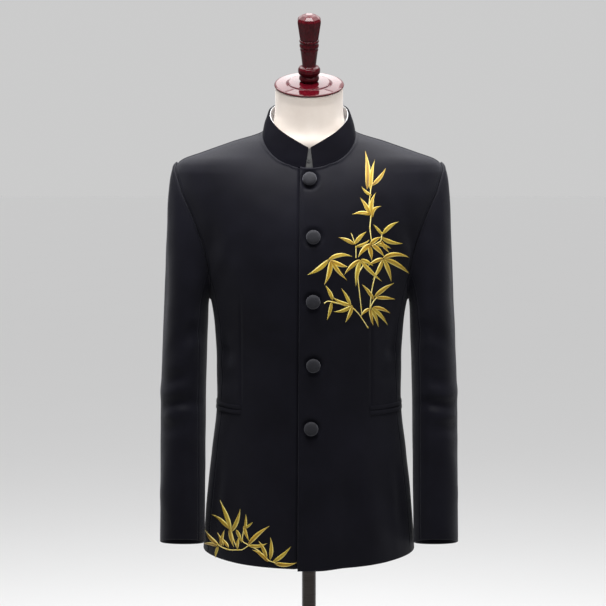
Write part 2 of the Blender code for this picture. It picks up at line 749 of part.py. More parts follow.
def lining_sheet():
    """The white band just inside the collar. It runs on behind the notch, where it closes."""
    inset = COLLAR_WALL + LINING_GAP
    sheet = []
    for j in range(COLLAR_ROWS + 1):
        rise = j / COLLAR_ROWS
        shown = LINING_SHOWS if j == COLLAR_ROWS else 0.0
        angles = [LINING_SPLIT + LINING_SLIT, LINING_SPLIT / 3] + collar_angles(rise)[:-1]
        angles.append(2 * math.pi + LINING_SPLIT)
        row = []
        for angle in angles:
            normal = collar_normal(angle, rise)
            low = collar_point(angle, 0.0, False)
            up = (collar_point(angle, 1.0, False) - low).normalized()
            row.append((collar_point(angle, rise, False) - normal * inset + up * shown, normal))
        sheet.append(row)
    return sheet


# Making solids

def inset_sheet(sheet, left, right, low, top):
    """Pull the named edges in by half a seam gap."""
    points = [[pair[0].copy() for pair in row] for row in sheet]
    half = SEAM_GAP / 2
    count = len(sheet[0])
    for row in points:
        if left:
            row[0] += (row[1] - row[0]).normalized() * half
        if right:
            row[-1] += (row[-2] - row[-1]).normalized() * half
    for i in range(count):
        if low:
            points[0][i] += (points[1][i] - points[0][i]).normalized() * half
        if top:
            points[-1][i] += (points[-2][i] - points[-1][i]).normalized() * half
    return [
        [(point, pair[1]) for point, pair in zip(point_row, row)] for point_row, row in zip(points, sheet)
    ]


def loft_faces(mesh, rings, closed):
    """Quads between neighbouring rows of vertices."""
    for low, high in zip(rings, rings[1:]):
        count = len(low)
        for i in range(count if closed else count - 1):
            k = (i + 1) % count
            mesh.faces.new((low[i], low[k], high[k], high[i]))


def add_object(name, mesh, material, smooth=True):
    data = bpy.data.meshes.new(name)
    bmesh.ops.recalc_face_normals(mesh, faces=mesh.faces)
    mesh.to_mesh(data)
    mesh.free()
    if smooth:
        data.shade_smooth()
        data.set_sharp_from_angle(angle=SMOOTH_UP_TO)
    thing = bpy.data.objects.new(name, data)
    data.materials.append(make_material(name, material))
    collection.objects.link(thing)
    return thing


def add_wall(name, sheet, wall, material):
    """A closed wall: the sheet's points, the same points one wall inside, and its rim."""
    mesh = bmesh.new()
    outer = [[mesh.verts.new(point) for point, _ in row] for row in sheet]
    inner = [[mesh.verts.new(point - normal * wall) for point, normal in row] for row in sheet]
    loft_faces(mesh, outer, False)
    loft_faces(mesh, [row[::-1] for row in inner], False)
    for outer_row, inner_row in ((outer[0], inner[0]), (outer[-1], inner[-1])):
        loft_faces(mesh, [outer_row, inner_row], False)
    for i in (0, -1):
        loft_faces(mesh, [[row[i] for row in outer], [row[i] for row in inner]], False)
    return add_object(name, mesh, material)


def make_material(name, kind):
    colour, roughness, metallic = MATERIALS[kind]
    material = bpy.data.materials.new(name + "_" + kind)
    material.use_nodes = True
    shader = material.node_tree.nodes["Principled BSDF"]
    shader.inputs["Base Color"].default_value = (*colour, 1.0)
    shader.inputs["Roughness"].default_value = roughness
    shader.inputs["Metallic"].default_value = metallic
    return material


def add_turned(name, profile, material, place, steps=TURNED_STEPS):
    """A profile of (height, radius) rows, top first, turned with a Screw modifier."""
    mesh = bmesh.new()
    points = [mesh.verts.new((radius, 0.0, height)) for height, radius in profile]
    for a, b in zip(points, points[1:]):
        mesh.edges.new((a, b))
    data = bpy.data.meshes.new(name)
    mesh.to_mesh(data)
    mesh.free()
    thing = bpy.data.objects.new(name, data)
    collection.objects.link(thing)
    screw = thing.modifiers.new("turn", "SCREW")
    screw.steps = steps
    screw.render_steps = steps
    screw.use_merge_vertices = True
    screw.merge_threshold = 0.00001
    screw.use_smooth_shade = True
    thing.matrix_world = place
    data.materials.append(make_material(name, material))
    return thing


def facing(place, normal):
    """A frame at a place with its Z axis along the normal."""
    return Matrix.Translation(place) @ normal.to_track_quat("Z", "Y").to_matrix().to_4x4()


def button_profile(radius, height):
    """A domed, cloth-covered button with a rolled edge."""
    return (
        (height, 0.0), (height * 0.97, radius * 0.35), (height * 0.86, radius * 0.66),
        (height * 0.62, radius * 0.90), (height * 0.38, radius), (height * 0.16, radius * 0.95),
        (0.0, radius * 0.78), (0.0, 0.0),
    )


# Sub-parts

def add_body():
    reaches = {"left": (LAP_REACH_TOP, LAP_REACH_HEM), "right": (UNDERLAP_REACH, UNDERLAP_REACH)}
    for hand, side in (("left", 1), ("right", -1)):
        on_top = hand == "left"
        front = front_sheet(side, *reaches[hand], on_top, LAP_DROP if on_top else 0.0)
        front = inset_sheet(front, False, True, False, True)
        add_wall("front_" + hand, front, WALL, "wool")
        add_wall("side_" + hand, inset_sheet(side_sheet(side), True, True, False, True), WALL, "wool")
        add_wall("back_" + hand, inset_sheet(back_sheet(side), True, True, False, True), WALL, "wool")


def add_sleeves():
    top, low = sleeve_angles()
    for hand, side in (("left", 1), ("right", -1)):
        upper = sleeve_sheet(side, top, HIND_SEAM_CUFF, FRONT_SEAM_CUFF)
        under = sleeve_sheet(side, low, FRONT_SEAM_CUFF, HIND_SEAM_CUFF + 2 * math.pi)
        add_wall("top_sleeve_" + hand, inset_sheet(upper, True, True, False, True), WALL, "wool")
        add_wall("under_sleeve_" + hand, inset_sheet(under, True, True, False, True), WALL, "wool")
        add_cuff_button(hand, side)


def add_cuff_button(hand, side):
    span = SLEEVE_ROWS[-2][3] - SLEEVE_ROWS[-1][3]
    along = 1.0 - CUFF_BUTTON_RISE / span * (SLEEVE_ROWS[-1][0] - SLEEVE_ROWS[-2][0])
    turn = CUFF_BUTTON_TURN
    step = SMALL_STEP
    point = sleeve_ring_point(turn, along)
    round_step = sleeve_ring_point(turn + step, along) - sleeve_ring_point(turn - step, along)
    down_step = sleeve_ring_point(turn, along + step) - point
    normal = round_step.cross(down_step).normalized()
    place = mirrored(point + normal * LIE_GAP, side)
    profile = button_profile(CUFF_BUTTON_RADIUS, CUFF_BUTTON_HEIGHT)
    frame = facing(place, mirrored(normal, side))
    add_turned("cuff_button_" + hand, profile, "button_cloth", frame, CUFF_BUTTON_STEPS)


def add_collar():
    add_wall("collar", collar_sheet(), COLLAR_WALL, "wool")
    add_wall("collar_lining", lining_sheet(), LINING_WALL, "lining")
    place = collar_point(HOOK_ANGLE, HOOK_RISE, False) - collar_normal(HOOK_ANGLE, HOOK_RISE) * HOOK_DEPTH
    hook = bpy.data.curves.new("collar_hook", "CURVE")
    hook.dimensions = "3D"
    hook.bevel_depth = HOOK_WIRE_RADIUS
    hook.bevel_resolution = 1
    hook.use_fill_caps = True
    loop = hook.splines.new("POLY")
    turns = [HOOK_OPEN_START + HOOK_BEND * i for i in range(HOOK_POINTS)]
    loop.points.add(len(turns) - 1)
    for point, turn in zip(loop.points, turns):
        point.co = (HOOK_HALF_WIDTH * math.sin(turn), 0.0, HOOK_HALF_HEIGHT * math.cos(turn), 1.0)
    thing = bpy.data.objects.new("collar_hook", hook)
    thing.location = place
    thing.rotation_euler = (HOOK_LEAN, 0.0, 0.0)
    hook.materials.append(make_material("collar_hook", "hook_metal"))
    collection.objects.link(thing)


def add_buttons():
    for number, (x, z) in enumerate(BUTTON_PLACES, 1):
        turn = turn_at_x(x, z)
        normal = body_normal(turn, z)
        place = body_point(turn, z, LAP_LIFT + LIE_GAP)
        add_turned(
            "button_%d" % number, button_profile(BUTTON_RADIUS, BUTTON_HEIGHT), "button_cloth",
            facing(place, normal), BUTTON_STEPS,
        )


def welt_sheet(side, inner_x, low_z):
    """A strip on the body's surface, from the pocket's inner end round towards the side seam."""
    start = turn_at_x(inner_x, POCKET_Z)
    turns = [start]
    reach = 0.0
    spacing = POCKET_LENGTH / WELT_STEPS
    turn = start
    while len(turns) < WELT_STEPS + 1:
        reach += (body_point(turn + WELT_TURN_STEP, POCKET_Z) - body_point(turn, POCKET_Z)).length
        turn += WELT_TURN_STEP
        if reach >= spacing * len(turns):
            turns.append(turn)
    sheet = []
    for j in range(3):
        z = low_z + WELT_HEIGHT * j / 2
        out = LIE_GAP + WELT_WALL + (WELT_BULGE if j == 1 else 0.0)
        sheet.append([side_body(turn, z, side, out) for turn in turns])
    return sheet


def add_pockets():
    for hand, side in (("left", 1), ("right", -1)):
        inner_x = POCKET_INNER_X[hand]
        upper = welt_sheet(side, inner_x, POCKET_Z + WELT_SLIT / 2)
        lower = welt_sheet(side, inner_x, POCKET_Z - WELT_SLIT / 2 - WELT_HEIGHT)
        add_wall("welt_upper_" + hand, upper, WELT_WALL, "wool")
        add_wall("welt_lower_" + hand, lower, WELT_WALL, "wool")


def form_ring(z):
    """A level ring of the dress form, kept under the jacket's shoulders."""
    half = form_table.value("half_width", z)
    side_y = form_table.value("side_y", z)
    front_y = form_table.value("front_y", z)
    back_y = form_table.value("back_y", z)
    raised = min(z + FORM_DROP, SIDE_NECK_Z)
    if z < SIDE_NECK_Z - FORM_DROP:
        half = min(half, body_table.value("half_width", raised))
        front_y = max(front_y, body_table.value("front_y", raised) + FORM_PINCH)
        back_y = min(back_y, body_table.value("back_y", raised) - FORM_PINCH)
    power = 2 / form_table.value("roundness", z)
    ring = []
    for i in range(FORM_SIDES):
        turn = 2 * math.pi * i / FORM_SIDES
        end_y = front_y if math.cos(turn) > 0 else back_y
        x = half * signed_power(math.sin(turn), power)
        y = side_y + (end_y - side_y) * abs(math.cos(turn)) ** power
        ring.append(Vector((x, y, z)))
    return ring


def neck_ring(z, centre_y, half_width, half_depth, tilt):
    ring = []
    for i in range(FORM_SIDES):
        turn = 2 * math.pi * i / FORM_SIDES
        forward = half_depth * math.cos(turn)
        y = centre_y - forward * math.cos(tilt)
        ring.append(Vector((half_width * math.sin(turn), y, z - forward * math.sin(tilt))))
    return ring


def add_form():
    levels = sorted([row[0] for row in FORM_ROWS] + list(FORM_EXTRA_LEVELS))
    rings = [form_ring(z) for z in levels]
    rings += [neck_ring(*row) for row in NECK_ROWS]
    mesh = bmesh.new()
    verts = [[mesh.verts.new(point) for point in ring] for ring in rings]
    loft_faces(mesh, verts, True)
    mesh.faces.new(verts[0][::-1])
    mesh.faces.new(verts[-1])
    add_object("form_torso", mesh, "form_cloth")


def add_stand():
    cap = Matrix.Translation(CAP_CENTRE) @ Matrix.Rotation(CAP_TILT, 4, "X")
    add_turned("neck_cap", CAP_PROFILE, "lacquer", cap, CAP_STEPS)
    add_turned("finial_stem", STEM_PROFILE, "lacquer", cap, STEM_STEPS)
    mesh = bmesh.new()
    rings = []
    for height, radius in FINIAL_HEAD_ROWS:
        ring = []
        for i in range(FINIAL_SIDES):
            turn = 2 * math.pi * (i + 0.5) / FINIAL_SIDES
            ring.append(mesh.verts.new((radius * math.sin(turn), -radius * math.cos(turn), height)))
        rings.append(ring)
    loft_faces(mesh, rings, True)
    mesh.faces.new(rings[0][::-1])
    mesh.faces.new(rings[-1])
    bmesh.ops.bevel(
        mesh, geom=[edge for edge in mesh.edges if edge.calc_face_angle(0.0) > SHARP_CORNER],
        offset=FINIAL_EDGE, segments=1, affect="EDGES",
    )
    head = add_object("finial_head", mesh, "lacquer", smooth=False)
    head.matrix_world = cap
    top = TORSO_LOW_Z - FORM_GAP
    flange_low = top - FLANGE_HEIGHT
    socket_low = top - SOCKET_HEIGHT
    pole = (
        (top, 0.0), (top, FLANGE_RADIUS), (flange_low, FLANGE_RADIUS), (flange_low, SOCKET_RADIUS),
        (socket_low, SOCKET_LOW_RADIUS), (socket_low, POLE_RADIUS), (POLE_LOW_Z, POLE_RADIUS),
        (POLE_LOW_Z, 0.0),
    )
    add_turned("pole", pole, "steel", Matrix.Identity(4))
    add_turned("base", BASE_PROFILE, "steel", Matrix.Identity(4), BASE_STEPS)


for old in list(bpy.data.objects):
    bpy.data.objects.remove(old, do_unlink=True)
collection = bpy.data.collections.new("tang_suit_jacket_on_dress_form")
bpy.context.scene.collection.children.link(collection)
add_body()
add_sleeves()
add_collar()
add_buttons()
add_pockets()
add_form()
add_stand()
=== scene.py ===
"""Looks of the stand-collar jacket on its dress form: smooth black suiting with pressed seams and
soft creases, raised bamboo embroidery, covered buttons, a lacquered neck cap and a steel stand.

Metres, +Z up, the jacket faces -Y and the wearer's left is +X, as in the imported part.
"""
import math

import bmesh
import bpy
import numpy as np
from mathutils import Matrix, Vector


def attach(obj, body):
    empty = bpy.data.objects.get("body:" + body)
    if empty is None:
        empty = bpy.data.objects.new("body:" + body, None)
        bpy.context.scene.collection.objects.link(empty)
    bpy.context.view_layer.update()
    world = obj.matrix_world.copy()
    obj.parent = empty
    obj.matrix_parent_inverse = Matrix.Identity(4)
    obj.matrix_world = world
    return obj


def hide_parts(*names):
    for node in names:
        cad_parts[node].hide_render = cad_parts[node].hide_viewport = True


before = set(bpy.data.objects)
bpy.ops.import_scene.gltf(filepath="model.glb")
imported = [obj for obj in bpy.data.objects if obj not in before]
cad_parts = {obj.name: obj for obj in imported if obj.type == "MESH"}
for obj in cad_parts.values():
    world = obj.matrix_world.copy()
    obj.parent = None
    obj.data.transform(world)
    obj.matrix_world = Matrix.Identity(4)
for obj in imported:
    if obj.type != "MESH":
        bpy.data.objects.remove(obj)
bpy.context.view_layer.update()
draw = np.random.default_rng(11)

# Cloth and gaps
WALL = 0.0020
COLLAR_WALL = 0.0024
LINING_WALL = 0.0012
SEAM_GAP = 0.0003
LIE_GAP = 0.0006
ROUNDNESS = 2.2
HANDS = (("left", 1), ("right", -1))

# Edges of a cloth piece. Columns: sink at the edge, its width, then the roll's height, place and width
EDGE_PROFILES = {
    "seam": (0.0011, 0.0009, 0.0016, 0.0025, 0.0012),
    "pressed": (0.0006, 0.0008, 0.0001, 0.0036, 0.0020),
    "neck": (0.0016, 0.0012, 0.0015, 0.0034, 0.0014),
}
FREE_EDGE_RADIUS = 0.0009
SIDE_SEAM_BLEND = 0.02
SEAM_FADE = 0.012

# Body of the jacket
HEM_Z = 0.5415
HEM_SIDE_RISE = 0.0095
HEM_RISE_TOP = 0.680
LAP_DROP = 0.003
LAP_DROP_FADE = (0.1, 0.3)
LAP_REACH_TOP = 0.0145
LAP_REACH_HEM = 0.0190
UNDERLAP_REACH = 0.020
LAP_LIFT = 0.0026
LAP_FLAT_X = 0.024
LAP_END_X = 0.062
LAP_ROLL = 0.0008
LAP_SHADE_DEPTH = 0.0028
LAP_SHADE_WIDTH = 0.0024
NECK_HALF_WIDTH = 0.075
SIDE_NECK_Z = 1.2465
FRONT_NECK_DROP = 0.0595
BACK_NECK_RISE = 0.0135
NECK_FAN_START = 0.86
NECK_SAMPLES = 900

# Armhole
ARMHOLE_TOP_Z = 1.193
ARMHOLE_LOW_Z = 0.972
ARMHOLE_FRONT_REACH = 0.066
ARMHOLE_BACK_REACH = 0.064
ARMHOLE_EGG = 0.15
FRONT_JUNCTION = math.radians(128)
BACK_JUNCTION = math.radians(232)
HIND_JUNCTION = math.radians(-112)
SIDE_FRONT_TURN_HEM = math.radians(70)
SIDE_BACK_TURN_HEM = math.radians(118)
ARMHOLE_MIDDLE_Z = (ARMHOLE_TOP_Z + ARMHOLE_LOW_Z) / 2
ARMHOLE_HALF_Z = (ARMHOLE_TOP_Z - ARMHOLE_LOW_Z) / 2

# Sleeves
HEAD_PULL = 0.32
HEAD_RISE = 0.34
HEAD_DROP_PULL = 0.85
HEAD_LEAVE_X = 0.92
HEAD_ARRIVE_X = 0.08
HEAD_ROLL = 0.0020
HEAD_ROLL_START = 0.06
HEAD_ROLL_PLACE = 0.0055
HEAD_ROLL_WIDTH = 0.0040
HIND_SEAM_CUFF = math.radians(-60)
FRONT_SEAM_CUFF = math.radians(138)

# Collar
COLLAR_END_LEFT_LOW = math.radians(4.5)
COLLAR_END_LEFT_TOP = math.radians(1.9)
COLLAR_END_RIGHT_LOW = math.radians(4.9)
COLLAR_END_RIGHT_TOP = math.radians(0.9)
COLLAR_TUCK = 0.0018
COLLAR_BULGE = 0.0016
COLLAR_AXIS_Y = 0.010
COLLAR_END_FADE = 8
LINING_GAP = 0.0009
LINING_SHOWS = 0.0012
LINING_SPLIT = math.radians(-9)
LINING_SLIT = math.radians(0.5)

# Buttons and pockets
BUTTON_RADIUS = 0.0114
BUTTON_HEIGHT = 0.0062
BUTTON_DENT = 0.0034
BUTTON_DENT_PLACE = 0.95
BUTTON_DENT_WIDTH = 0.38
BUTTON_PLACES = (
    (0.0005, 1.1680), (0.0064, 1.0770), (0.0061, 0.9750), (0.0064, 0.8720), (0.0030, 0.7690),
)
CUFF_BUTTON_RADIUS = 0.0062
CUFF_BUTTON_HEIGHT = 0.0042
CUFF_BUTTON_RISE = 0.031
CUFF_BUTTON_TURN = math.radians(-30)
WELT_HEIGHT = 0.0076
WELT_SLIT = 0.0006
WELT_WALL = 0.0014
WELT_RISE = 0.0010
WELT_BULGE = 0.0004
POCKET_Z = 0.7950
POCKET_LENGTH = 0.138
POCKET_INNER_X = {"left": 0.098, "right": 0.110}

# Dress form and stand
FORM_DROP = 0.0027
FORM_PINCH = 0.0035
NECK_SMOOTH_ROW = 100
NECK_SMOOTH_TIMES = 160
NECK_KEPT_ROWS = 8
NECK_FRONT_SHARES = (0.45, 0.85)
NECK_BASE_LOW_Z = 1.19
NECK_BASE_TOP_Z = 1.25
TORSO_RINGS = 70
NECK_BASE_RINGS = 36
NECK_RINGS = 24
FORM_COLUMNS = 96
KNIT_ROUND = 0.36
FINIAL_BEVEL = 0.0009
FINIAL_FLAT_ANGLE = math.radians(12)
CAP_TILT = math.radians(22)
CAP_CENTRE = (0.0, -0.0117, 1.3200)
POLE_RADIUS = 0.0117
POLE_LOW_Z = 0.0363
FLANGE_RADIUS = 0.042
FLANGE_HEIGHT = 0.0045
SOCKET_RADIUS = 0.0190
SOCKET_LOW_RADIUS = 0.0170
SOCKET_HEIGHT = 0.0300
TORSO_LOW_Z = 0.590
FORM_GAP = 0.0003

BODY = ("z", "half_width", "front_y", "side_y", "back_y")
BODY_ROWS = (
    (0.500, 0.1795, -0.1255, 0.004, 0.1280),
    (0.533, 0.1780, -0.1240, 0.004, 0.1255),
    (0.630, 0.1715, -0.1205, 0.004, 0.1210),
    (0.714, 0.1625, -0.1160, 0.004, 0.1110),
    (0.806, 0.1530, -0.1125, 0.003, 0.1010),
    (0.860, 0.1533, -0.1150, 0.003, 0.0990),
    (0.915, 0.1553, -0.1210, 0.003, 0.1050),
    (0.975, 0.1640, -0.1265, 0.003, 0.1150),
    (1.020, 0.1777, -0.1275, 0.005, 0.1210),
    (1.065, 0.1943, -0.1230, 0.008, 0.1240),
    (1.110, 0.2120, -0.1140, 0.010, 0.1230),
    (1.154, 0.2240, -0.1000, 0.012, 0.1160),
    (1.176, 0.2240, -0.0905, 0.013, 0.1090),
    (1.190, 0.2185, -0.0830, 0.014, 0.1030),
    (1.199, 0.2080, -0.0770, 0.014, 0.0985),
    (1.210, 0.1780, -0.0690, 0.015, 0.0925),
    (1.228, 0.1270, -0.0560, 0.017, 0.0840),
    (1.2465, 0.0750, -0.0450, 0.020, 0.0775),
    (1.270, 0.0690, -0.0400, 0.024, 0.0720),
)

# Broad folds of the body. Columns: turn in degrees, z, half of its turn, half of its height, depth
BODY_FOLD_ROWS = (
    (38, 0.610, 13, 0.120, 0.0030),
    (60, 0.640, 10, 0.110, -0.0028),
    (-36, 0.600, 12, 0.110, 0.0026),
    (-62, 0.650, 11, 0.120, -0.0030),
    (146, 0.620, 13, 0.130, 0.0032),
    (-150, 0.600, 12, 0.120, 0.0030),
    (62, 0.895, 13, 0.070, -0.0030),
    (-60, 0.890, 12, 0.070, -0.0028),
)

# Sections of the sleeve's arm, the tilt in degrees
SLEEVE = ("along", "x", "y", "z", "half_x", "half_y", "tilt")
SLEEVE_ROWS = (
    (0.00, 0.2036, 0.0060, 0.955, 0.0362, 0.0720, 0),
    (0.14, 0.2060, 0.0045, 0.901, 0.0367, 0.0700, 2),
    (0.40, 0.2093, -0.0010, 0.800, 0.0373, 0.0655, 6),
    (0.70, 0.2097, -0.0190, 0.685, 0.0371, 0.0580, 12),
    (1.00, 0.2096, -0.0440, 0.569, 0.0366, 0.0490, 17),
)

# Broad sleeve folds. Columns: along, angle in degrees, half of its length, half of its angle, depth
SLEEVE_FOLD_ROWS = (
    (0.30, 70, 0.055, 75, -0.0032),
    (0.41, 95, 0.045, 70, -0.0040),
    (0.36, 30, 0.050, 60, 0.0010),
    (0.52, 60, 0.055, 65, -0.0026),
    (0.10, 120, 0.070, 60, -0.0034),
    (0.16, -110, 0.080, 60, -0.0034),
    (0.80, 20, 0.060, 70, 0.0006),
)

COLLAR_TOP = ("turn", "x", "y", "z")
COLLAR_TOP_ROWS = (
    (0.0, 0.0000, -0.0620, 1.2190),
    (18.0, 0.0208, -0.0575, 1.2310),
    (45.0, 0.0468, -0.0395, 1.2480),
    (72.0, 0.0632, -0.0125, 1.2670),
    (90.0, 0.0668, 0.0090, 1.2780),
    (122.0, 0.0580, 0.0420, 1.2900),
    (150.0, 0.0340, 0.0600, 1.2955),
    (180.0, 0.0000, 0.0660, 1.2975),
)

FORM = ("z", "half_width", "front_y", "side_y", "back_y", "roundness")
FORM_ROWS = (
    (0.590, 0.1500, -0.1040, 0.004, 0.1030, 2.2),
    (0.640, 0.1545, -0.1070, 0.004, 0.1060, 2.2),
    (0.714, 0.1500, -0.1040, 0.004, 0.0990, 2.2),
    (0.806, 0.1410, -0.1010, 0.003, 0.0900, 2.2),
    (0.860, 0.1410, -0.1030, 0.003, 0.0880, 2.2),
    (0.915, 0.1440, -0.1090, 0.003, 0.0940, 2.2),
    (0.975, 0.1500, -0.1145, 0.003, 0.1030, 2.2),
    (1.020, 0.1560, -0.1150, 0.005, 0.1090, 2.2),
    (1.065, 0.1625, -0.1100, 0.008, 0.1120, 2.2),
    (1.110, 0.1690, -0.1010, 0.010, 0.1110, 2.2),
    (1.154, 0.1760, -0.0880, 0.012, 0.1040, 2.2),
    (1.176, 0.1790, -0.0780, 0.013, 0.0970, 2.2),
    (1.190, 0.1790, -0.0710, 0.014, 0.0900, 2.1),
    (1.203, 0.1785, -0.0600, 0.015, 0.0820, 1.9),
    (1.214, 0.1700, -0.0540, 0.016, 0.0760, 1.7),
    (1.224, 0.1430, -0.0505, 0.016, 0.0710, 1.55),
    (1.2295, 0.1150, -0.0495, 0.0155, 0.0685, 1.5),
    (1.2335, 0.0820, -0.0490, 0.0130, 0.0665, 1.6),
    (1.2370, 0.0705, -0.0490, 0.0105, 0.0650, 1.75),
    (1.2430, 0.0640, -0.0490, 0.0080, 0.0630, 1.95),
    (1.2500, 0.0605, -0.0500, 0.0055, 0.0610, 2.05),
)

# The form's neck. Columns: z, centre_y, half_width, half_depth, tilt in degrees
NECK_ROWS = (
    (1.2600, 0.0042, 0.0590, 0.0550, 5),
    (1.2760, 0.0015, 0.0562, 0.0552, 10),
    (1.2980, -0.0040, 0.0555, 0.0556, 17),
    (1.3195, -0.0116, 0.0555, 0.0560, 22),
)

# Turned profiles from the top down. Columns: height, radius
CAP_PROFILE = (
    (0.0078, 0.0000), (0.0078, 0.0160), (0.0070, 0.0330), (0.0066, 0.0352), (0.0052, 0.0360),
    (0.0048, 0.0380), (0.0036, 0.0545), (0.0030, 0.0566), (0.0018, 0.0573), (0.0007, 0.0564),
    (0.0003, 0.0545),
    (0.0003, 0.0000),
)
STEM_PROFILE = (
    (0.0790, 0.0000), (0.0790, 0.0150), (0.0778, 0.0160), (0.0755, 0.0160), (0.0740, 0.0149),
    (0.0722, 0.0149), (0.0706, 0.0158), (0.0672, 0.0157), (0.0655, 0.0146), (0.0638, 0.0146),
    (0.0622, 0.0150), (0.0592, 0.0141), (0.0440, 0.0122), (0.0355, 0.0113), (0.0340, 0.0126),
    (0.0325, 0.0160), (0.0295, 0.0180), (0.0255, 0.0183), (0.0215, 0.0172), (0.0190, 0.0142),
    (0.0180, 0.0142), (0.0165, 0.0158), (0.0135, 0.0165), (0.0110, 0.0160), (0.0092, 0.0146),
    (0.0081, 0.0140), (0.0081, 0.0000),
)
FINIAL_HEAD_ROWS = (
    (0.0793, 0.0155), (0.0830, 0.0164), (0.1080, 0.0202), (0.1115, 0.0204),
    (0.1150, 0.0185), (0.1195, 0.0120), (0.1215, 0.0055),
)
FINIAL_SIDES = 8
BASE_PROFILE = (
    (0.0360, 0.0000), (0.0360, 0.0190), (0.0345, 0.0205), (0.0150, 0.0225), (0.0120, 0.0270),
    (0.0100, 0.0340), (0.0090, 0.1640), (0.0075, 0.1685), (0.0050, 0.1700), (0.0000, 0.1690),
    (0.0000, 0.0000),
)

# Creases of the body. Columns: width, depth, then the line's (turn in degrees, z) points
BODY_CREASES = (
    (0.013, -0.0016, ((64, 1.045), (52, 1.085), (44, 1.120))),
    (0.010, 0.0010, ((66, 1.025), (50, 1.060), (38, 1.085))),
    (0.012, -0.0014, ((-63, 1.040), (-50, 1.075), (-45, 1.115))),
    (0.009, 0.0009, ((-60, 1.010), (-46, 1.045), (-37, 1.080))),
    (0.009, -0.0012, ((80, 0.905), (62, 0.893), (48, 0.898))),
    (0.008, 0.0010, ((78, 0.882), (60, 0.872), (50, 0.870))),
    (0.010, -0.0012, ((76, 0.852), (58, 0.846), (44, 0.852))),
    (0.009, -0.0013, ((-80, 0.900), (-60, 0.886), (-47, 0.888))),
    (0.008, 0.0010, ((-74, 0.874), (-58, 0.862), (-46, 0.866))),
    (0.010, -0.0010, ((-78, 0.842), (-60, 0.835), (-48, 0.842))),
    (0.016, 0.0015, ((30, 0.735), (33, 0.650), (31, 0.545))),
    (0.014, -0.0013, ((20, 0.700), (19, 0.620), (20, 0.545))),
    (0.016, 0.0014, ((-28, 0.720), (-31, 0.640), (-29, 0.545))),
    (0.014, -0.0012, ((-17, 0.690), (-16, 0.610), (-18, 0.548))),
    (0.010, -0.0008, ((6, 0.925), (18, 0.935), (30, 0.950))),
    (0.009, -0.0008, ((-9, 0.918), (-20, 0.926), (-31, 0.944))),
    (0.014, -0.0018, ((112, 1.035), (126, 1.085), (134, 1.125))),
    (0.011, 0.0012, ((110, 1.010), (126, 1.055), (138, 1.095))),
    (0.014, -0.0017, ((-113, 1.030), (-128, 1.078), (-137, 1.122))),
    (0.011, 0.0012, ((-111, 1.000), (-124, 1.040), (-139, 1.080))),
    (0.012, -0.0018, ((106, 0.905), (128, 0.890), (152, 0.896))),
    (0.010, 0.0013, ((108, 0.876), (132, 0.866), (156, 0.872))),
    (0.012, -0.0016, ((-104, 0.898), (-130, 0.884), (-155, 0.892))),
    (0.010, 0.0012, ((-110, 0.868), (-134, 0.858), (-158, 0.866))),
    (0.013, -0.0014, ((120, 0.842), (142, 0.836), (160, 0.842))),
    (0.013, -0.0013, ((-118, 0.836), (-138, 0.828), (-158, 0.834))),
    (0.018, 0.0020, ((158, 0.720), (160, 0.630), (158, 0.545))),
    (0.018, 0.0018, ((-146, 0.720), (-143, 0.640), (-144, 0.545))),
    (0.016, -0.0016, ((134, 0.700), (132, 0.620), (133, 0.548))),
    (0.016, -0.0015, ((-166, 0.710), (-168, 0.630), (-166, 0.548))),
)

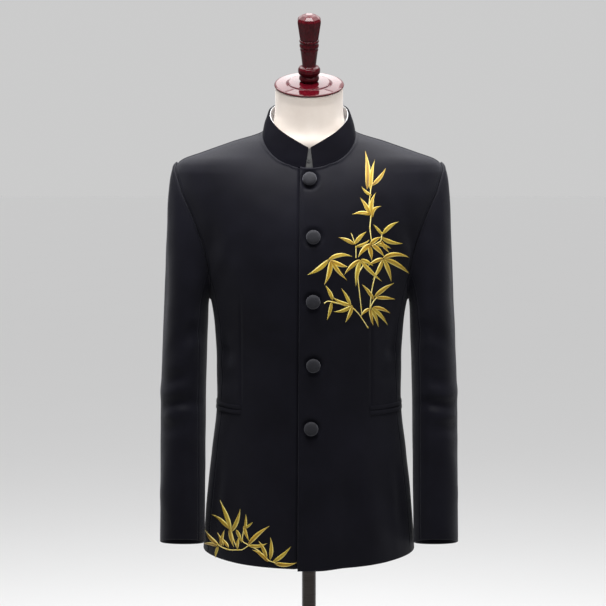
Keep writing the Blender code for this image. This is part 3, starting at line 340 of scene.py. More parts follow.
# Creases of each sleeve. Columns: width, depth, then the line's (angle in degrees, down) points, where
# down is 0 at the armhole, 1 under the arm and 2 at the cuff
SLEEVE_CREASES = {
    "left": (
        (0.012, -0.0024, ((128, 1.02), (92, 1.10), (52, 1.16))),
        (0.011, 0.0016, ((134, 1.07), (100, 1.14), (60, 1.21))),
        (0.012, -0.0026, ((120, 1.28), (84, 1.33), (44, 1.36))),
        (0.010, 0.0018, ((118, 1.33), (80, 1.38), (36, 1.40))),
        (0.011, -0.0028, ((112, 1.39), (70, 1.42), (24, 1.41))),
        (0.010, 0.0017, ((110, 1.45), (74, 1.47), (30, 1.45))),
        (0.012, -0.0020, ((100, 1.52), (66, 1.50), (28, 1.53))),
        (0.014, 0.0014, ((60, 1.60), (40, 1.72), (34, 1.86))),
        (0.013, -0.0014, ((92, 1.66), (78, 1.76), (66, 1.88))),
        (0.014, -0.0024, ((-128, 1.04), (-96, 1.12), (-58, 1.19))),
        (0.012, 0.0015, ((-132, 1.12), (-100, 1.19), (-66, 1.25))),
        (0.013, -0.0020, ((-60, 1.33), (-96, 1.38), (-130, 1.36))),
        (0.012, 0.0016, ((-56, 1.44), (-92, 1.46), (-128, 1.44))),
        (0.014, -0.0014, ((-40, 1.58), (-52, 1.72), (-60, 1.86))),
        (0.016, 0.0016, ((8, 0.62), (2, 0.92), (4, 1.20))),
        (0.014, -0.0012, ((30, 0.60), (26, 0.88), (22, 1.12))),
    ),
    "right": (
        (0.012, -0.0022, ((130, 1.05), (96, 1.12), (60, 1.20))),
        (0.011, 0.0014, ((134, 1.11), (104, 1.18), (70, 1.26))),
        (0.012, -0.0024, ((122, 1.25), (88, 1.29), (50, 1.35))),
        (0.010, 0.0017, ((118, 1.31), (84, 1.35), (42, 1.41))),
        (0.011, -0.0027, ((114, 1.37), (76, 1.40), (30, 1.44))),
        (0.010, 0.0016, ((110, 1.43), (78, 1.44), (36, 1.48))),
        (0.012, -0.0018, ((104, 1.50), (70, 1.53), (34, 1.51))),
        (0.014, 0.0015, ((56, 1.62), (46, 1.74), (30, 1.88))),
        (0.013, -0.0013, ((88, 1.68), (80, 1.78), (74, 1.90))),
        (0.014, -0.0022, ((-126, 1.02), (-100, 1.10), (-62, 1.21))),
        (0.012, 0.0016, ((-130, 1.10), (-104, 1.17), (-70, 1.28))),
        (0.013, -0.0022, ((-62, 1.36), (-94, 1.40), (-128, 1.39))),
        (0.012, 0.0014, ((-58, 1.47), (-90, 1.49), (-126, 1.47))),
        (0.014, -0.0013, ((-36, 1.60), (-48, 1.74), (-62, 1.84))),
        (0.016, 0.0015, ((12, 0.58), (6, 0.88), (2, 1.16))),
        (0.014, -0.0013, ((34, 0.64), (28, 0.92), (26, 1.14))),
    ),
}
SLEEVE_CREASE_SHARE = 0.6
CREASE_BANK = 0.35
CREASE_BANK_PLACE = 1.9

# Darts of the fronts, upright pressed lines. Columns: hand, x, low z, high z
DARTS = (("right", 0.1105, 0.800, 1.000), ("left", 0.1000, 0.800, 0.995))
DART_WIDTH = 0.0015
DART_DEPTH = 0.0013
DART_LOW_FADE = 0.012
DART_TOP_FADE = 0.06
DART_ROLL = 0.0004
DART_ROLL_PLACE = 0.005
DART_ROLL_WIDTH = 0.004

# Camera: 606 pixels across, pitched down
PICTURE = 606
CAMERA_PLACE = (-0.010, -2.9886, 1.2235)
CAMERA_PITCH = math.radians(5)
SENSOR = 36.0
LENS = 107.35
FOCAL = LENS / SENSOR * PICTURE

# Bamboo on the wearer's left chest, in picture coordinates.
# Leaf columns: base x, base y, tip x, tip y, width, bend
CHEST_LEAVES = (
    (367, 186, 366, 151, 5.8, 0.05), (371, 188, 374, 161, 4.8, -0.05), (373, 184, 386, 168, 4.4, 0.08),
    (371, 195, 361, 186, 3.0, -0.10), (370, 214, 359, 198, 4.8, 0.04), (370, 215, 352, 215, 4.2, 0.12),
    (373, 215, 376, 193, 5.2, -0.14), (373, 216, 382, 206, 3.8, -0.30), (381, 234, 374, 225, 3.0, 0.05),
    (384, 233, 398, 222, 4.4, -0.08), (383, 238, 402, 243, 4.6, 0.12), (381, 241, 389, 253, 3.6, 0.05),
    (378, 245, 392, 248, 3.4, -0.10), (370, 245, 359, 258, 5.2, 0.10), (369, 247, 371, 261, 4.8, -0.04),
    (372, 245, 384, 257, 4.8, -0.08), (371, 244, 382, 236, 4.6, -0.10), (353, 244, 339, 237, 4.2, 0.08),
    (356, 243, 367, 231, 4.4, -0.08), (357, 246, 369, 239, 3.4, 0.12), (327, 261, 308, 275, 5.2, -0.08),
    (330, 262, 325, 285, 5.4, -0.08), (330, 260, 353, 257, 4.6, -0.16), (331, 261, 349, 267, 5.2, 0.06),
    (332, 262, 348, 281, 4.2, 0.05), (359, 261, 344, 275, 4.6, 0.08), (360, 262, 355, 287, 5.2, 0.05),
    (362, 262, 381, 281, 4.2, 0.04), (362, 260, 374, 266, 4.0, -0.05), (385, 258, 408, 257, 4.8, -0.16),
    (386, 260, 411, 275, 5.4, -0.08), (384, 261, 391, 282, 4.8, -0.06), (382, 261, 373, 279, 4.2, -0.05),
    (382, 259, 368, 266, 4.0, 0.05), (350, 305, 341, 289, 3.6, 0.06), (350, 305, 332, 296, 4.4, -0.10),
    (351, 306, 334, 311, 4.0, -0.12), (352, 307, 345, 322, 4.2, -0.05), (332, 299, 325, 286, 4.0, 0.06),
    (331, 303, 326, 320, 3.8, -0.06), (373, 299, 362, 285, 3.8, 0.05), (376, 296, 393, 284, 4.6, -0.06),
    (377, 298, 395, 300, 3.8, -0.04), (369, 309, 362, 317, 3.4, 0.10), (370, 309, 372, 325, 3.6, 0.03),
    (372, 310, 378, 327, 3.8, -0.04), (373, 309, 387, 325, 4.2, -0.06), (374, 308, 391, 314, 4.0, -0.10),
)
CHEST_STEMS = (
    ((371, 186), (370, 196), (369, 206), (371, 216)),
    ((371, 216), (370, 228), (372, 244)),
    ((382, 232), (381, 240), (372, 246)),
    ((355, 244), (353, 238), (351, 233)),
    ((356, 246), (356, 258)),
    ((364, 264), (358, 277), (360, 297), (362, 315)),
    ((382, 264), (374, 280), (371, 296), (370, 309)),
    ((333, 302), (341, 304), (351, 307), (358, 313), (363, 320), (368, 328)),
    ((333, 302), (328, 301), (324, 303)),
    ((377, 297), (373, 302), (370, 309)),
)
HEM_LEAVES = (
    (228, 528, 212, 515, 4.2, 0.08), (230, 529, 220, 501, 4.8, 0.05), (232, 530, 241, 508, 4.8, 0.08),
    (246, 528, 247, 515, 2.8, 0.03), (246, 528, 253, 521, 2.6, 0.05), (245, 527, 249, 540, 3.6, 0.04),
    (237, 531, 243, 543, 3.8, -0.05), (230, 530, 234, 547, 4.0, 0.04), (218, 544, 206, 529, 4.0, -0.10),
    (216, 546, 202, 544, 3.4, 0.12), (218, 547, 215, 558, 3.2, 0.05), (221, 545, 224, 530, 3.8, -0.05),
    (223, 545, 218, 532, 2.8, 0.05), (228, 547, 221, 538, 3.2, 0.05), (238, 548, 241, 536, 3.2, -0.05),
    (250, 544, 269, 527, 4.6, -0.06), (250, 545, 268, 544, 3.8, 0.14), (267, 561, 252, 550, 4.0, 0.10),
    (266, 557, 259, 541, 4.0, 0.05), (270, 558, 270, 537, 4.2, 0.06), (274, 561, 291, 547, 4.4, 0.06),
    (276, 563, 296, 562, 4.6, 0.12),
)
HEM_STEMS = (
    ((217, 544), (224, 548), (232, 550), (241, 550), (250, 545)),
    ((231, 530), (234, 540), (238, 549)),
    ((245, 528), (243, 540), (249, 545)),
    ((250, 545), (259, 551), (268, 560), (278, 564)),
)

# Raised thread. Widths and jitter are in picture pixels, and THREAD_SCALE is metres of thread to a pixel
LEAF_HEIGHT = 0.0011
LEAF_JITTER = 1.0
LEAF_BEND_JITTER = 0.02
LEAF_OVERLAP = 0.08
LEAF_SLIMNESS = 0.90
LEAF_BEND_SCALE = 1.6
LEAF_WIDEST = 0.36
LEAF_WIDENING = 0.72
LEAF_NARROWING = 1.28
LEAF_SINK = 0.00012
LEAF_STEPS = 26
LEAF_ACROSS = (-1, -0.94, -0.8, -0.6, -0.36, -0.12, 0, 0.12, 0.36, 0.6, 0.8, 0.94, 1)
LEAF_LAYERS = 5
LAYER_STEP = 0.00007
STEM_HEIGHT = 0.0009
STEM_HALF_WIDTH = 0.56
STEM_SINK = 0.0001
STEM_ACROSS = (-1, -0.85, -0.55, -0.2, 0.2, 0.55, 0.85, 1)
JOINT_EVERY = 11.0
THREAD_SCALE = 0.0016

# Studio. Columns of a light: name, place, target, width, depth, watts
FLOOR_HALF = 40.0
FLOOR_GLOW = 0.38
WORLD_LIGHT = 0.60
WORLD_DARK = 0.12
WORLD_DARK_WAY = (0.0, -0.5, 0.866)
LIGHTS = (
    ("key_light", (-0.12, -0.65, 2.10), (-0.05, 0.0, 1.15), 0.6, 0.5, 15.0),
    ("fill_light", (0.85, -0.85, 2.15), (0.05, 0.0, 1.15), 0.9, 0.6, 9.0),
    ("brow_light", (-0.05, -0.42, 2.28), (0.0, -0.05, 1.20), 0.8, 0.18, 24.0),
    ("top_light", (0.0, 0.30, 2.40), (0.0, 0.0, 1.20), 2.2, 1.0, 60.0),
    ("cap_wide", (0.0, 1.80, 2.80), (0.0, 0.0, 1.32), 2.6, 0.9, 12.0),
    ("cap_narrow", (0.0, 1.70, 2.70), (0.0, 0.0, 1.32), 0.45, 0.8, 5.5),
)


# Reading tables and small helpers

def slopes_of(places, values):
    """Slopes that keep the curve through the rows from overshooting."""
    widths = np.diff(places)
    rises = np.diff(values) / widths
    left, right = rises[:-1], rises[1:]
    weight_left = 2 * widths[1:] + widths[:-1]
    weight_right = widths[1:] + 2 * widths[:-1]
    same = left * right > 0
    safe_left = np.where(same, left, 1.0)
    safe_right = np.where(same, right, 1.0)
    inner = (weight_left + weight_right) / (weight_left / safe_left + weight_right / safe_right)
    return np.concatenate(([rises[0]], np.where(same, inner, 0.0), [rises[-1]]))

def hermite(s, low, high, slope_low, slope_high):
    """The smooth curve between two ends with those slopes, for s from 0 to 1."""
    return (
        (2 * s**3 - 3 * s**2 + 1) * low + (s**3 - 2 * s**2 + s) * slope_low
        + (3 * s**2 - 2 * s**3) * high + (s**3 - s**2) * slope_high
    )
class Table:
    """Rows under named columns, read smoothly along the first column."""

    def __init__(self, names, rows):
        self.places = np.array([row[0] for row in rows], float)
        self.columns = {name: np.array([row[i] for row in rows], float) for i, name in enumerate(names)}
        self.slopes = {name: slopes_of(self.places, values) for name, values in self.columns.items()}

    def read(self, name, place):
        """The column's value at each place, and its slope there."""
        place = np.clip(place, self.places[0], self.places[-1])
        i = np.clip(np.searchsorted(self.places, place) - 1, 0, len(self.places) - 2)
        width = self.places[i + 1] - self.places[i]
        s = (place - self.places[i]) / width
        low, high = self.columns[name][i], self.columns[name][i + 1]
        slope_low, slope_high = self.slopes[name][i], self.slopes[name][i + 1]
        value = hermite(s, low, high, width * slope_low, width * slope_high)
        slope = (
            (6 * s**2 - 6 * s) * (low - high) / width + (3 * s**2 - 4 * s + 1) * slope_low
            + (3 * s**2 - 2 * s) * slope_high
        )
        return value, slope

    def value(self, name, place):
        return self.read(name, place)[0]


body_table = Table(BODY, BODY_ROWS)
sleeve_table = Table(SLEEVE, SLEEVE_ROWS)
collar_table = Table(COLLAR_TOP, COLLAR_TOP_ROWS)
form_table = Table(FORM, FORM_ROWS)


def signed_power(value, power):
    return np.sign(value) * np.abs(value) ** power


def smooth_step(low, high, value):
    s = np.clip((value - low) / (high - low), 0.0, 1.0)
    return s * s * (3 - 2 * s)


def blend(start, end, share):
    return start + (end - start) * share


def soft_hump(value, middle, half_width):
    distance = np.minimum(np.abs(value - middle) / half_width, 1.0)
    return np.cos(distance * math.pi / 2) ** 2


def bell(value, middle, width):
    return np.exp(-(((value - middle) / width) ** 2))


def bent_line(start, middle, end, t):
    return (1 - t) ** 2 * start + 2 * t * (1 - t) * middle + t**2 * end


def lengths_along(line):
    """Each point's distance from the line's start, along the line."""
    return np.concatenate(([0.0], np.cumsum(np.linalg.norm(np.diff(line, axis=0), axis=1))))


def stack(x, y, z):
    return np.stack(np.broadcast_arrays(x, y, z), axis=-1).astype(float)


def unit(vectors):
    return vectors / np.maximum(np.linalg.norm(vectors, axis=-1, keepdims=True), 1e-12)


def mirrored(points, side):
    return points * np.array((side, 1.0, 1.0))


# The jacket's body. A turn of 0 faces front, 90 degrees the wearer's left.

def body_section(turn, z):
    half, half_slope = body_table.read("half_width", z)
    side_y, side_slope = body_table.read("side_y", z)
    front = np.cos(turn) > 0
    front_y, front_slope = body_table.read("front_y", z)
    back_y, back_slope = body_table.read("back_y", z)
    depth = np.where(front, front_y, back_y) - side_y
    depth_slope = np.where(front, front_slope, back_slope) - side_slope
    u = np.abs(np.sin(turn)) ** (2 / ROUNDNESS)
    v = np.abs(np.cos(turn)) ** (2 / ROUNDNESS)
    grad_x = np.sign(np.sin(turn)) * u ** (ROUNDNESS - 1) / half
    grad_y = v ** (ROUNDNESS - 1) / depth
    grad_z = -(u**ROUNDNESS) * half_slope / half - v**ROUNDNESS * depth_slope / depth - grad_y * side_slope
    point = stack(half * np.sign(np.sin(turn)) * u, side_y + depth * v, z)
    return point, unit(stack(grad_x, grad_y, grad_z))


def body_fold(turn, z):
    total = 0.0
    for fold_turn, fold_z, half_turn, half_height, depth in BODY_FOLD_ROWS:
        around = soft_hump(turn, math.radians(fold_turn), math.radians(half_turn))
        total = total + depth * around * soft_hump(z, fold_z, half_height)
    return total


def body_surface(turn, z, out=0.0):
    point, normal = body_section(turn, z)
    return point + normal * np.expand_dims(body_fold(turn, z) + out, -1), normal


def turn_at_x(x, z):
    share = np.minimum(np.abs(x) / body_table.value("half_width", z), 1.0)
    return np.sign(x) * np.arcsin(share ** (ROUNDNESS / 2))


def lap_lift(x):
    return LAP_LIFT * (1 - smooth_step(LAP_FLAT_X, LAP_END_X, x))


def climb_of(z):
    """The share of the way from the hem to the side of the neck."""
    return (z - HEM_Z) / (SIDE_NECK_Z - HEM_Z)


def armhole_place(angle):
    z = ARMHOLE_MIDDLE_Z + ARMHOLE_HALF_Z * np.cos(angle)
    in_front = np.sin(angle) > 0
    reach = np.where(in_front, ARMHOLE_FRONT_REACH, ARMHOLE_BACK_REACH)
    off = reach * np.abs(np.sin(angle)) * (1 - ARMHOLE_EGG * np.cos(angle))
    side_y = body_table.value("side_y", z)
    end_y = np.where(in_front, body_table.value("front_y", z), body_table.value("back_y", z))
    turn = np.arccos((off / np.abs(end_y - side_y)) ** (ROUNDNESS / 2))
    return np.where(in_front, turn, math.pi - turn), z


def armhole_angle(z):
    return np.arccos(np.clip((z - ARMHOLE_MIDDLE_Z) / ARMHOLE_HALF_Z, -1.0, 1.0))


FRONT_JUNCTION_TURN, JUNCTION_Z = armhole_place(FRONT_JUNCTION)
BACK_JUNCTION_TURN = armhole_place(BACK_JUNCTION)[0]


def edge_turn(z, hem_turn, junction_turn, arm_angle):
    """The turn of a front's or back's outer edge: side seam, then armhole, then shoulder seam."""
    seam = blend(hem_turn, junction_turn, (z - HEM_Z) / (JUNCTION_Z - HEM_Z))
    arm = np.where(z < ARMHOLE_TOP_Z, armhole_place(arm_angle)[0], math.pi / 2)
    return np.where(z <= JUNCTION_Z, seam, arm)


def front_edge_turn(z):
    return edge_turn(z, SIDE_FRONT_TURN_HEM, FRONT_JUNCTION_TURN, armhole_angle(z))


def back_edge_turn(z):
    return edge_turn(z, SIDE_BACK_TURN_HEM, BACK_JUNCTION_TURN, 2 * math.pi - armhole_angle(z))


def edge_heights():
    below = np.linspace(HEM_Z, JUNCTION_Z, ROWS_BELOW_ARM, endpoint=False)
    along = armhole_place(np.linspace(FRONT_JUNCTION, 0.0, ROWS_ALONG_ARM, endpoint=False))[1]
    over = np.linspace(ARMHOLE_TOP_Z, SIDE_NECK_Z, ROWS_ON_SHOULDER + 1)
    return np.concatenate((below, along, over))


def front_neck_z(angle):
    return SIDE_NECK_Z - FRONT_NECK_DROP * np.cos(angle)


def back_neck_z(angle):
    return SIDE_NECK_Z + BACK_NECK_RISE * np.cos(angle)


def neck_point(angle, side, out=0.0):
    """The neckline's points and the body's normals there, for angles from 0 (front) to pi (back)."""
    back_angle = math.pi - angle
    front = angle <= math.pi / 2
    z = np.where(front, front_neck_z(angle), back_neck_z(back_angle))
    front_turn = turn_at_x(NECK_HALF_WIDTH * np.sin(angle), front_neck_z(angle))
    back_turn = math.pi - np.arcsin(np.clip(np.sin(back_angle), 0, 1) ** (ROUNDNESS / 2))
    return body_surface(np.where(front, front_turn, back_turn) * side, z, out)


def neck_angles(start, end, shares):
    """Neckline angles at shares of its length from start to end."""
    samples = np.linspace(start, end, NECK_SAMPLES)
    turns = np.abs((samples + math.pi) % (2 * math.pi) - math.pi)
    lengths = lengths_along(neck_point(turns, 1.0)[0])
    return np.interp(np.asarray(shares) * lengths[-1], lengths, samples)


def front_start_turn(z, reach_top, reach_hem):
    return -turn_at_x(blend(reach_hem, reach_top, climb_of(z)), z)


# Folds and creases that both the cloth and what lies on it follow

def line_distance(points, line):
    """Distance to a line of points, and the share of the line's length at the nearest place."""
    best = np.full(points.shape[:-1], np.inf)
    share = np.zeros(points.shape[:-1])
    lengths = np.linalg.norm(np.diff(line, axis=0), axis=1)
    starts = lengths_along(line)
    for a, b, length, start in zip(line, line[1:], lengths, starts):
        t = np.clip(((points - a) @ (b - a)) / length**2, 0.0, 1.0)
        distance = np.linalg.norm(points - (a + t[..., None] * (b - a)), axis=-1)
        closer = distance < best
        best = np.where(closer, distance, best)
        share = np.where(closer, (start + t * length) / starts[-1], share)
    return best, share


def crease_offset(points, creases):
    """How far the creases push the cloth out or in."""
    total = np.zeros(points.shape[:-1])
    for width, depth, line in creases:
        distance, share = line_distance(points, line)
        taper = np.sin(math.pi * np.clip(share, 0.04, 0.96)) ** 0.8
        near = distance / width
        total += depth * taper * (bell(near, 0.0, 1.0) - CREASE_BANK * bell(near, CREASE_BANK_PLACE, 1.0))
    return total


def ripple(points):
    """A very slight unevenness of worn cloth."""
    x, y, z = points[..., 0], points[..., 1], points[..., 2]
    return (
        0.00022 * np.sin(61 * x + 37 * z + 2.1) * np.sin(43 * z - 29 * y)
        + 0.00016 * np.sin(97 * z + 71 * y + 0.6) * np.sin(83 * x + 1.3)
    )


def smooth_line(points, count=13):
    """A smooth line through three or more given points, as rows of numbers."""
    rows = np.array(points, float)
    places = np.linspace(0, 1, len(rows))
    table = Table(("t",) + tuple("abc"[: rows.shape[1]]), [(p, *row) for p, row in zip(places, rows)])
    t = np.linspace(0, 1, count)
    return np.stack([table.value(name, t) for name in "abc"[: rows.shape[1]]], axis=-1)


body_creases = []
for width, depth, spots in BODY_CREASES:
    spots = smooth_line(spots)
    body_creases.append((width, depth, body_surface(np.radians(spots[:, 0]), spots[:, 1])[0]))


def body_detail(points, hand=None):
    """How far creases, buttons, and a front's own lap and dart push the cloth out or in."""
    x, z = points[..., 0], points[..., 2]
    facing = points[..., 1] < 0
    total = crease_offset(points, body_creases) + ripple(points)
    for button_x, button_z in BUTTON_PLACES:
        around = np.hypot(x - button_x, z - button_z) / BUTTON_RADIUS
        total -= facing * BUTTON_DENT * bell(around, BUTTON_DENT_PLACE, BUTTON_DENT_WIDTH)
    edge = x + blend(LAP_REACH_HEM, LAP_REACH_TOP, climb_of(z))
    if hand == "right":
        total -= facing * LAP_SHADE_DEPTH * bell(edge, 0.0, LAP_SHADE_WIDTH)
    if hand == "left":
        total += LAP_ROLL * bell(edge, LAP_SHADE_WIDTH, LAP_SHADE_WIDTH)
    for dart_hand, dart_x, low, high in DARTS:
        if dart_hand == hand:
            distance = np.abs(np.abs(x) - dart_x)
            ends = smooth_step(low, low + DART_LOW_FADE, z)
            ends = ends * (1 - smooth_step(high - DART_TOP_FADE, high, z))
            total -= facing * DART_DEPTH * ends * bell(distance, 0.0, DART_WIDTH)
            total += facing * DART_ROLL * ends * bell(distance, DART_ROLL_PLACE, DART_ROLL_WIDTH)
    return total


# Making meshes from grids of points

def grid_normals(points, outward):
    """Normals from the grid itself, turned the way of the given ones."""
    down = np.gradient(points, axis=0)
    across = np.gradient(points, axis=1)
    normals = unit(np.cross(across, down))
    flip = np.sign(np.sum(normals * outward, axis=-1, keepdims=True))
    return normals * np.where(flip == 0, 1.0, flip)


def spans(points):
    """Distances along each row and each column of a grid, from its first edge."""
    across = np.linalg.norm(np.diff(points, axis=1), axis=-1)
    down = np.linalg.norm(np.diff(points, axis=0), axis=-1)
    u = np.concatenate((np.zeros((len(points), 1)), np.cumsum(across, axis=1)), axis=1)
    v = np.concatenate((np.zeros((1, points.shape[1])), np.cumsum(down, axis=0)), axis=0)
    return u, v


def clustered(count, fine):
    """Shares from 0 to 1, closer together near both ends, where fine lists the first few."""
    fine = np.array(fine)
    middle = np.linspace(fine[-1], 1 - fine[-1], count)
    return np.concatenate(([0.0], fine[:-1], middle, 1 - fine[:-1][::-1], [1.0]))


def faces_of(rows, columns, offset, flip):
    i = np.arange(rows - 1)[:, None] * columns + np.arange(columns - 1)[None, :] + offset
    quads = np.stack((i, i + 1, i + columns + 1, i + columns), axis=-1).reshape(-1, 4)
    return quads[:, ::-1] if flip else quads


def placed(name, data):
    thing = bpy.data.objects.new(name, data)
    bpy.context.scene.collection.objects.link(thing)
    return thing


def mesh_object(name, verts, faces, uv=None, tone=None):
    data = bpy.data.meshes.new(name)
    data.from_pydata([tuple(v) for v in verts.reshape(-1, 3)], [], [tuple(face) for face in faces])
    corners = np.zeros(len(data.loops), dtype=np.int32)
    data.loops.foreach_get("vertex_index", corners)
    if uv is not None:
        layer = data.uv_layers.new(name="cloth")
        layer.data.foreach_set("uv", uv.reshape(-1, 2)[corners].astype(np.float32).ravel())
    if tone is not None:
        layer = data.color_attributes.new("tone", "FLOAT_COLOR", "POINT")
        layer.data.foreach_set("color", tone.reshape(-1, 4).astype(np.float32).ravel())
    data.shade_smooth()
    return placed(name, data)


def edge_profile(distance, kind):
    """How far the outer face sinks near an edge: a rounded free edge, or a seam with a roll beside it."""
    if kind == "free":
        near = np.clip(1 - distance / FREE_EDGE_RADIUS, 0.0, 1.0)
        return FREE_EDGE_RADIUS * (1 - np.sqrt(1 - near**2))
    sink, width, roll, roll_place, roll_width = EDGE_PROFILES[kind]
    return sink * bell(distance, 0.0, width) - roll * bell(distance, roll_place, roll_width)


def edge_sink(distance, kind, z):
    """The same for every kind, where a side's edge is pressed low down and a sleeve's head rolls up high."""
    if kind == "side":
        share = smooth_step(JUNCTION_Z - SIDE_SEAM_BLEND, JUNCTION_Z + SIDE_SEAM_BLEND, z)
        return blend(edge_profile(distance, "pressed"), edge_profile(distance, "seam"), share)
    if kind == "head":
        roll = HEAD_ROLL * smooth_step(JUNCTION_Z + HEAD_ROLL_START, ARMHOLE_TOP_Z, z)
        return edge_profile(distance, "seam") - roll * bell(distance, HEAD_ROLL_PLACE, HEAD_ROLL_WIDTH)
    return edge_profile(distance, kind)


def faded(offset, distance, kind, z):
    """Detail fades out at seams that two pieces share, so that both end in one line."""
    if kind in ("seam", "head"):
        return offset * smooth_step(0.0, SEAM_FADE, distance)
    if kind == "side":
        beside = smooth_step(JUNCTION_Z - SEAM_FADE, JUNCTION_Z, z)
        return offset * blend(1.0, smooth_step(0.0, SEAM_FADE, distance), beside)
    return offset


def edges(low, top, first, last):
    return {"low": low, "top": top, "first": first, "last": last}


def rim_faces(rows, columns):
    """Faces that join the outer grid's edge to the inner grid's."""
    count = rows * columns
    ring = np.concatenate((
        np.arange(columns), columns * np.arange(1, rows) + columns - 1,
        (rows - 1) * columns + np.arange(columns - 2, -1, -1), columns * np.arange(rows - 2, 0, -1),
    ))
    following = np.roll(ring, -1)
    return np.stack((ring, ring + count, following + count, following), axis=-1)


def turn_faces_out(data):
    bm = bmesh.new()
    bm.from_mesh(data)
    bmesh.ops.recalc_face_normals(bm, faces=bm.faces)
    bm.to_mesh(data)
    bm.free()


def shell(name, points, outward, wall, kinds, detail):
    """A thin closed cloth wall on a grid. kinds names what each edge is: low, top, first, last."""
    points = points.copy()
    for key, near, far in (("first", 0, 1), ("last", -1, -2)):
        if kinds[key] != "free":
            points[:, near] += unit(points[:, far] - points[:, near]) * (SEAM_GAP / 2)
    for key, near, far in (("low", 0, 1), ("top", -1, -2)):
        if kinds[key] != "free":
            points[near] += unit(points[far] - points[near]) * (SEAM_GAP / 2)
    u, v = spans(points)
    z = points[..., 2]
    distances = {"first": u, "last": u[:, -1:] - u, "low": v, "top": v[-1:] - v}
    offset = detail(points) if detail else np.zeros(z.shape)
    for key, distance in distances.items():
        offset = faded(offset, distance, kinds[key], z)
    base = points + outward * offset[..., None]
    normals = grid_normals(base, outward)
    sink = np.zeros(z.shape)
    pinch = np.zeros(z.shape)
    for key, distance in distances.items():
        drop = edge_sink(distance, kinds[key], z)
        sink = np.where(np.abs(drop) > np.abs(sink), drop, sink)
        if kinds[key] == "free":
            pinch = np.maximum(pinch, drop)
    outer = base - normals * sink[..., None]
    inner = base - normals * (wall - pinch)[..., None]
    rows, columns = z.shape
    faces = np.concatenate((
        faces_of(rows, columns, 0, False), faces_of(rows, columns, rows * columns, True),
        rim_faces(rows, columns),
    ))
    uv = np.stack((u - u[:, -1:] / 2, v), axis=-1)
    thing = mesh_object(name, np.concatenate((outer, inner)), faces.tolist(), np.concatenate((uv, uv)))
    turn_faces_out(thing.data)
    diagonals = points[1:, 1:] - points[:-1, :-1], points[1:, :-1] - points[:-1, 1:]
    area = np.linalg.norm(np.cross(*diagonals), axis=-1).sum() / 2
    thing["cut"] = (float(u[:, -1].max()), float(v[-1].max()), float(area))
    return thing


# Materials

class Nodes:
    """Short calls for building the node tree of a material or a world."""

    def __init__(self, owner, last):
        owner.use_nodes = True
        self.owner = owner
        self.tree = owner.node_tree
        self.last = self.tree.nodes[last]
        place = self.add("ShaderNodeTexCoord").outputs
        self.flat, self.uv, self.around = place["Object"], place["UV"], place["Generated"]

    def plug(self, socket, value):
        if hasattr(value, "is_linked"):
            self.tree.links.new(value, socket)
        else:
            socket.default_value = value

    def add(self, kind, values=(), **settings):
        node = self.tree.nodes.new(kind)
        for key, value in settings.items():
            setattr(node, key, value)
        for key, value in dict(values).items():
            self.plug(node.inputs[key], value)
        return node

    def set(self, **values):
        for key, value in values.items():
            self.plug(self.last.inputs[key.replace("_", " ")], value)

    def noise(self, scale, detail=3.0, roughness=0.5, stretch=None):
        where = self.flat
        if stretch:
            where = self.add("ShaderNodeMapping", {"Vector": where, "Scale": stretch}).outputs["Vector"]
        values = {"Vector": where, "Scale": scale, "Detail": detail, "Roughness": roughness}
        return self.add("ShaderNodeTexNoise", values).outputs["Fac"]

    def stripes(self, scale, turn, distortion=0.0):
        turned = self.add("ShaderNodeMapping", {"Vector": self.uv, "Rotation": (0.0, 0.0, turn)})
        return self.add("ShaderNodeTexWave", {
            "Vector": turned.outputs["Vector"], "Scale": scale, "Distortion": distortion,
            "Detail": 1.0, "Detail Scale": 1.5,
        }).outputs["Fac"]

    def ramp(self, value, stops, interpolation="LINEAR"):
        node = self.add("ShaderNodeValToRGB", {"Fac": value})
        ramp = node.color_ramp
        ramp.interpolation = interpolation
        while len(ramp.elements) < len(stops):
            ramp.elements.new(0.5)
        for element, (place, colour) in zip(ramp.elements, stops):
            element.position = place
            element.color = (*colour, 1.0)
        return node.outputs["Color"]

    def two_tone(self, value, dark, light, low=0.30, high=0.70):
        return self.ramp(value, ((low, dark), (high, light)))

    def scaled(self, value, low, high):
        values = {"Value": value, "To Min": low, "To Max": high}
        return self.add("ShaderNodeMapRange", values).outputs["Result"]

    def math(self, operation, a, b):
        return self.add("ShaderNodeMath", {0: a, 1: b}, operation=operation).outputs["Value"]

    def along(self, axis):
        return self.add("ShaderNodeSeparateXYZ", {"Vector": self.flat}).outputs[axis]

    def shaded(self, colour, place, near, far, least):
        """Painted shade: the colour, darkened to its least share where place falls from far to near."""
        share = self.add("ShaderNodeMapRange", {
            "Value": place, "From Min": near, "From Max": far, "To Min": least, "To Max": 1.0,
        }, interpolation_type="SMOOTHSTEP").outputs["Result"]
        darker = self.add("ShaderNodeVectorMath", {0: colour, 1: share}, operation="MULTIPLY")
        return darker.outputs["Vector"]

    def bump(self, layers):
        """Bumps on top of each other. Each layer is a height, a strength and a depth in metres."""
        below = {}
        for height, strength, depth in layers:
            values = {"Height": height, "Strength": strength, "Distance": depth, **below}
            below = {"Normal": self.add("ShaderNodeBump", values).outputs["Normal"]}
        self.set(**below)


def material_nodes(name):
    return Nodes(bpy.data.materials.new(name), "Principled BSDF")


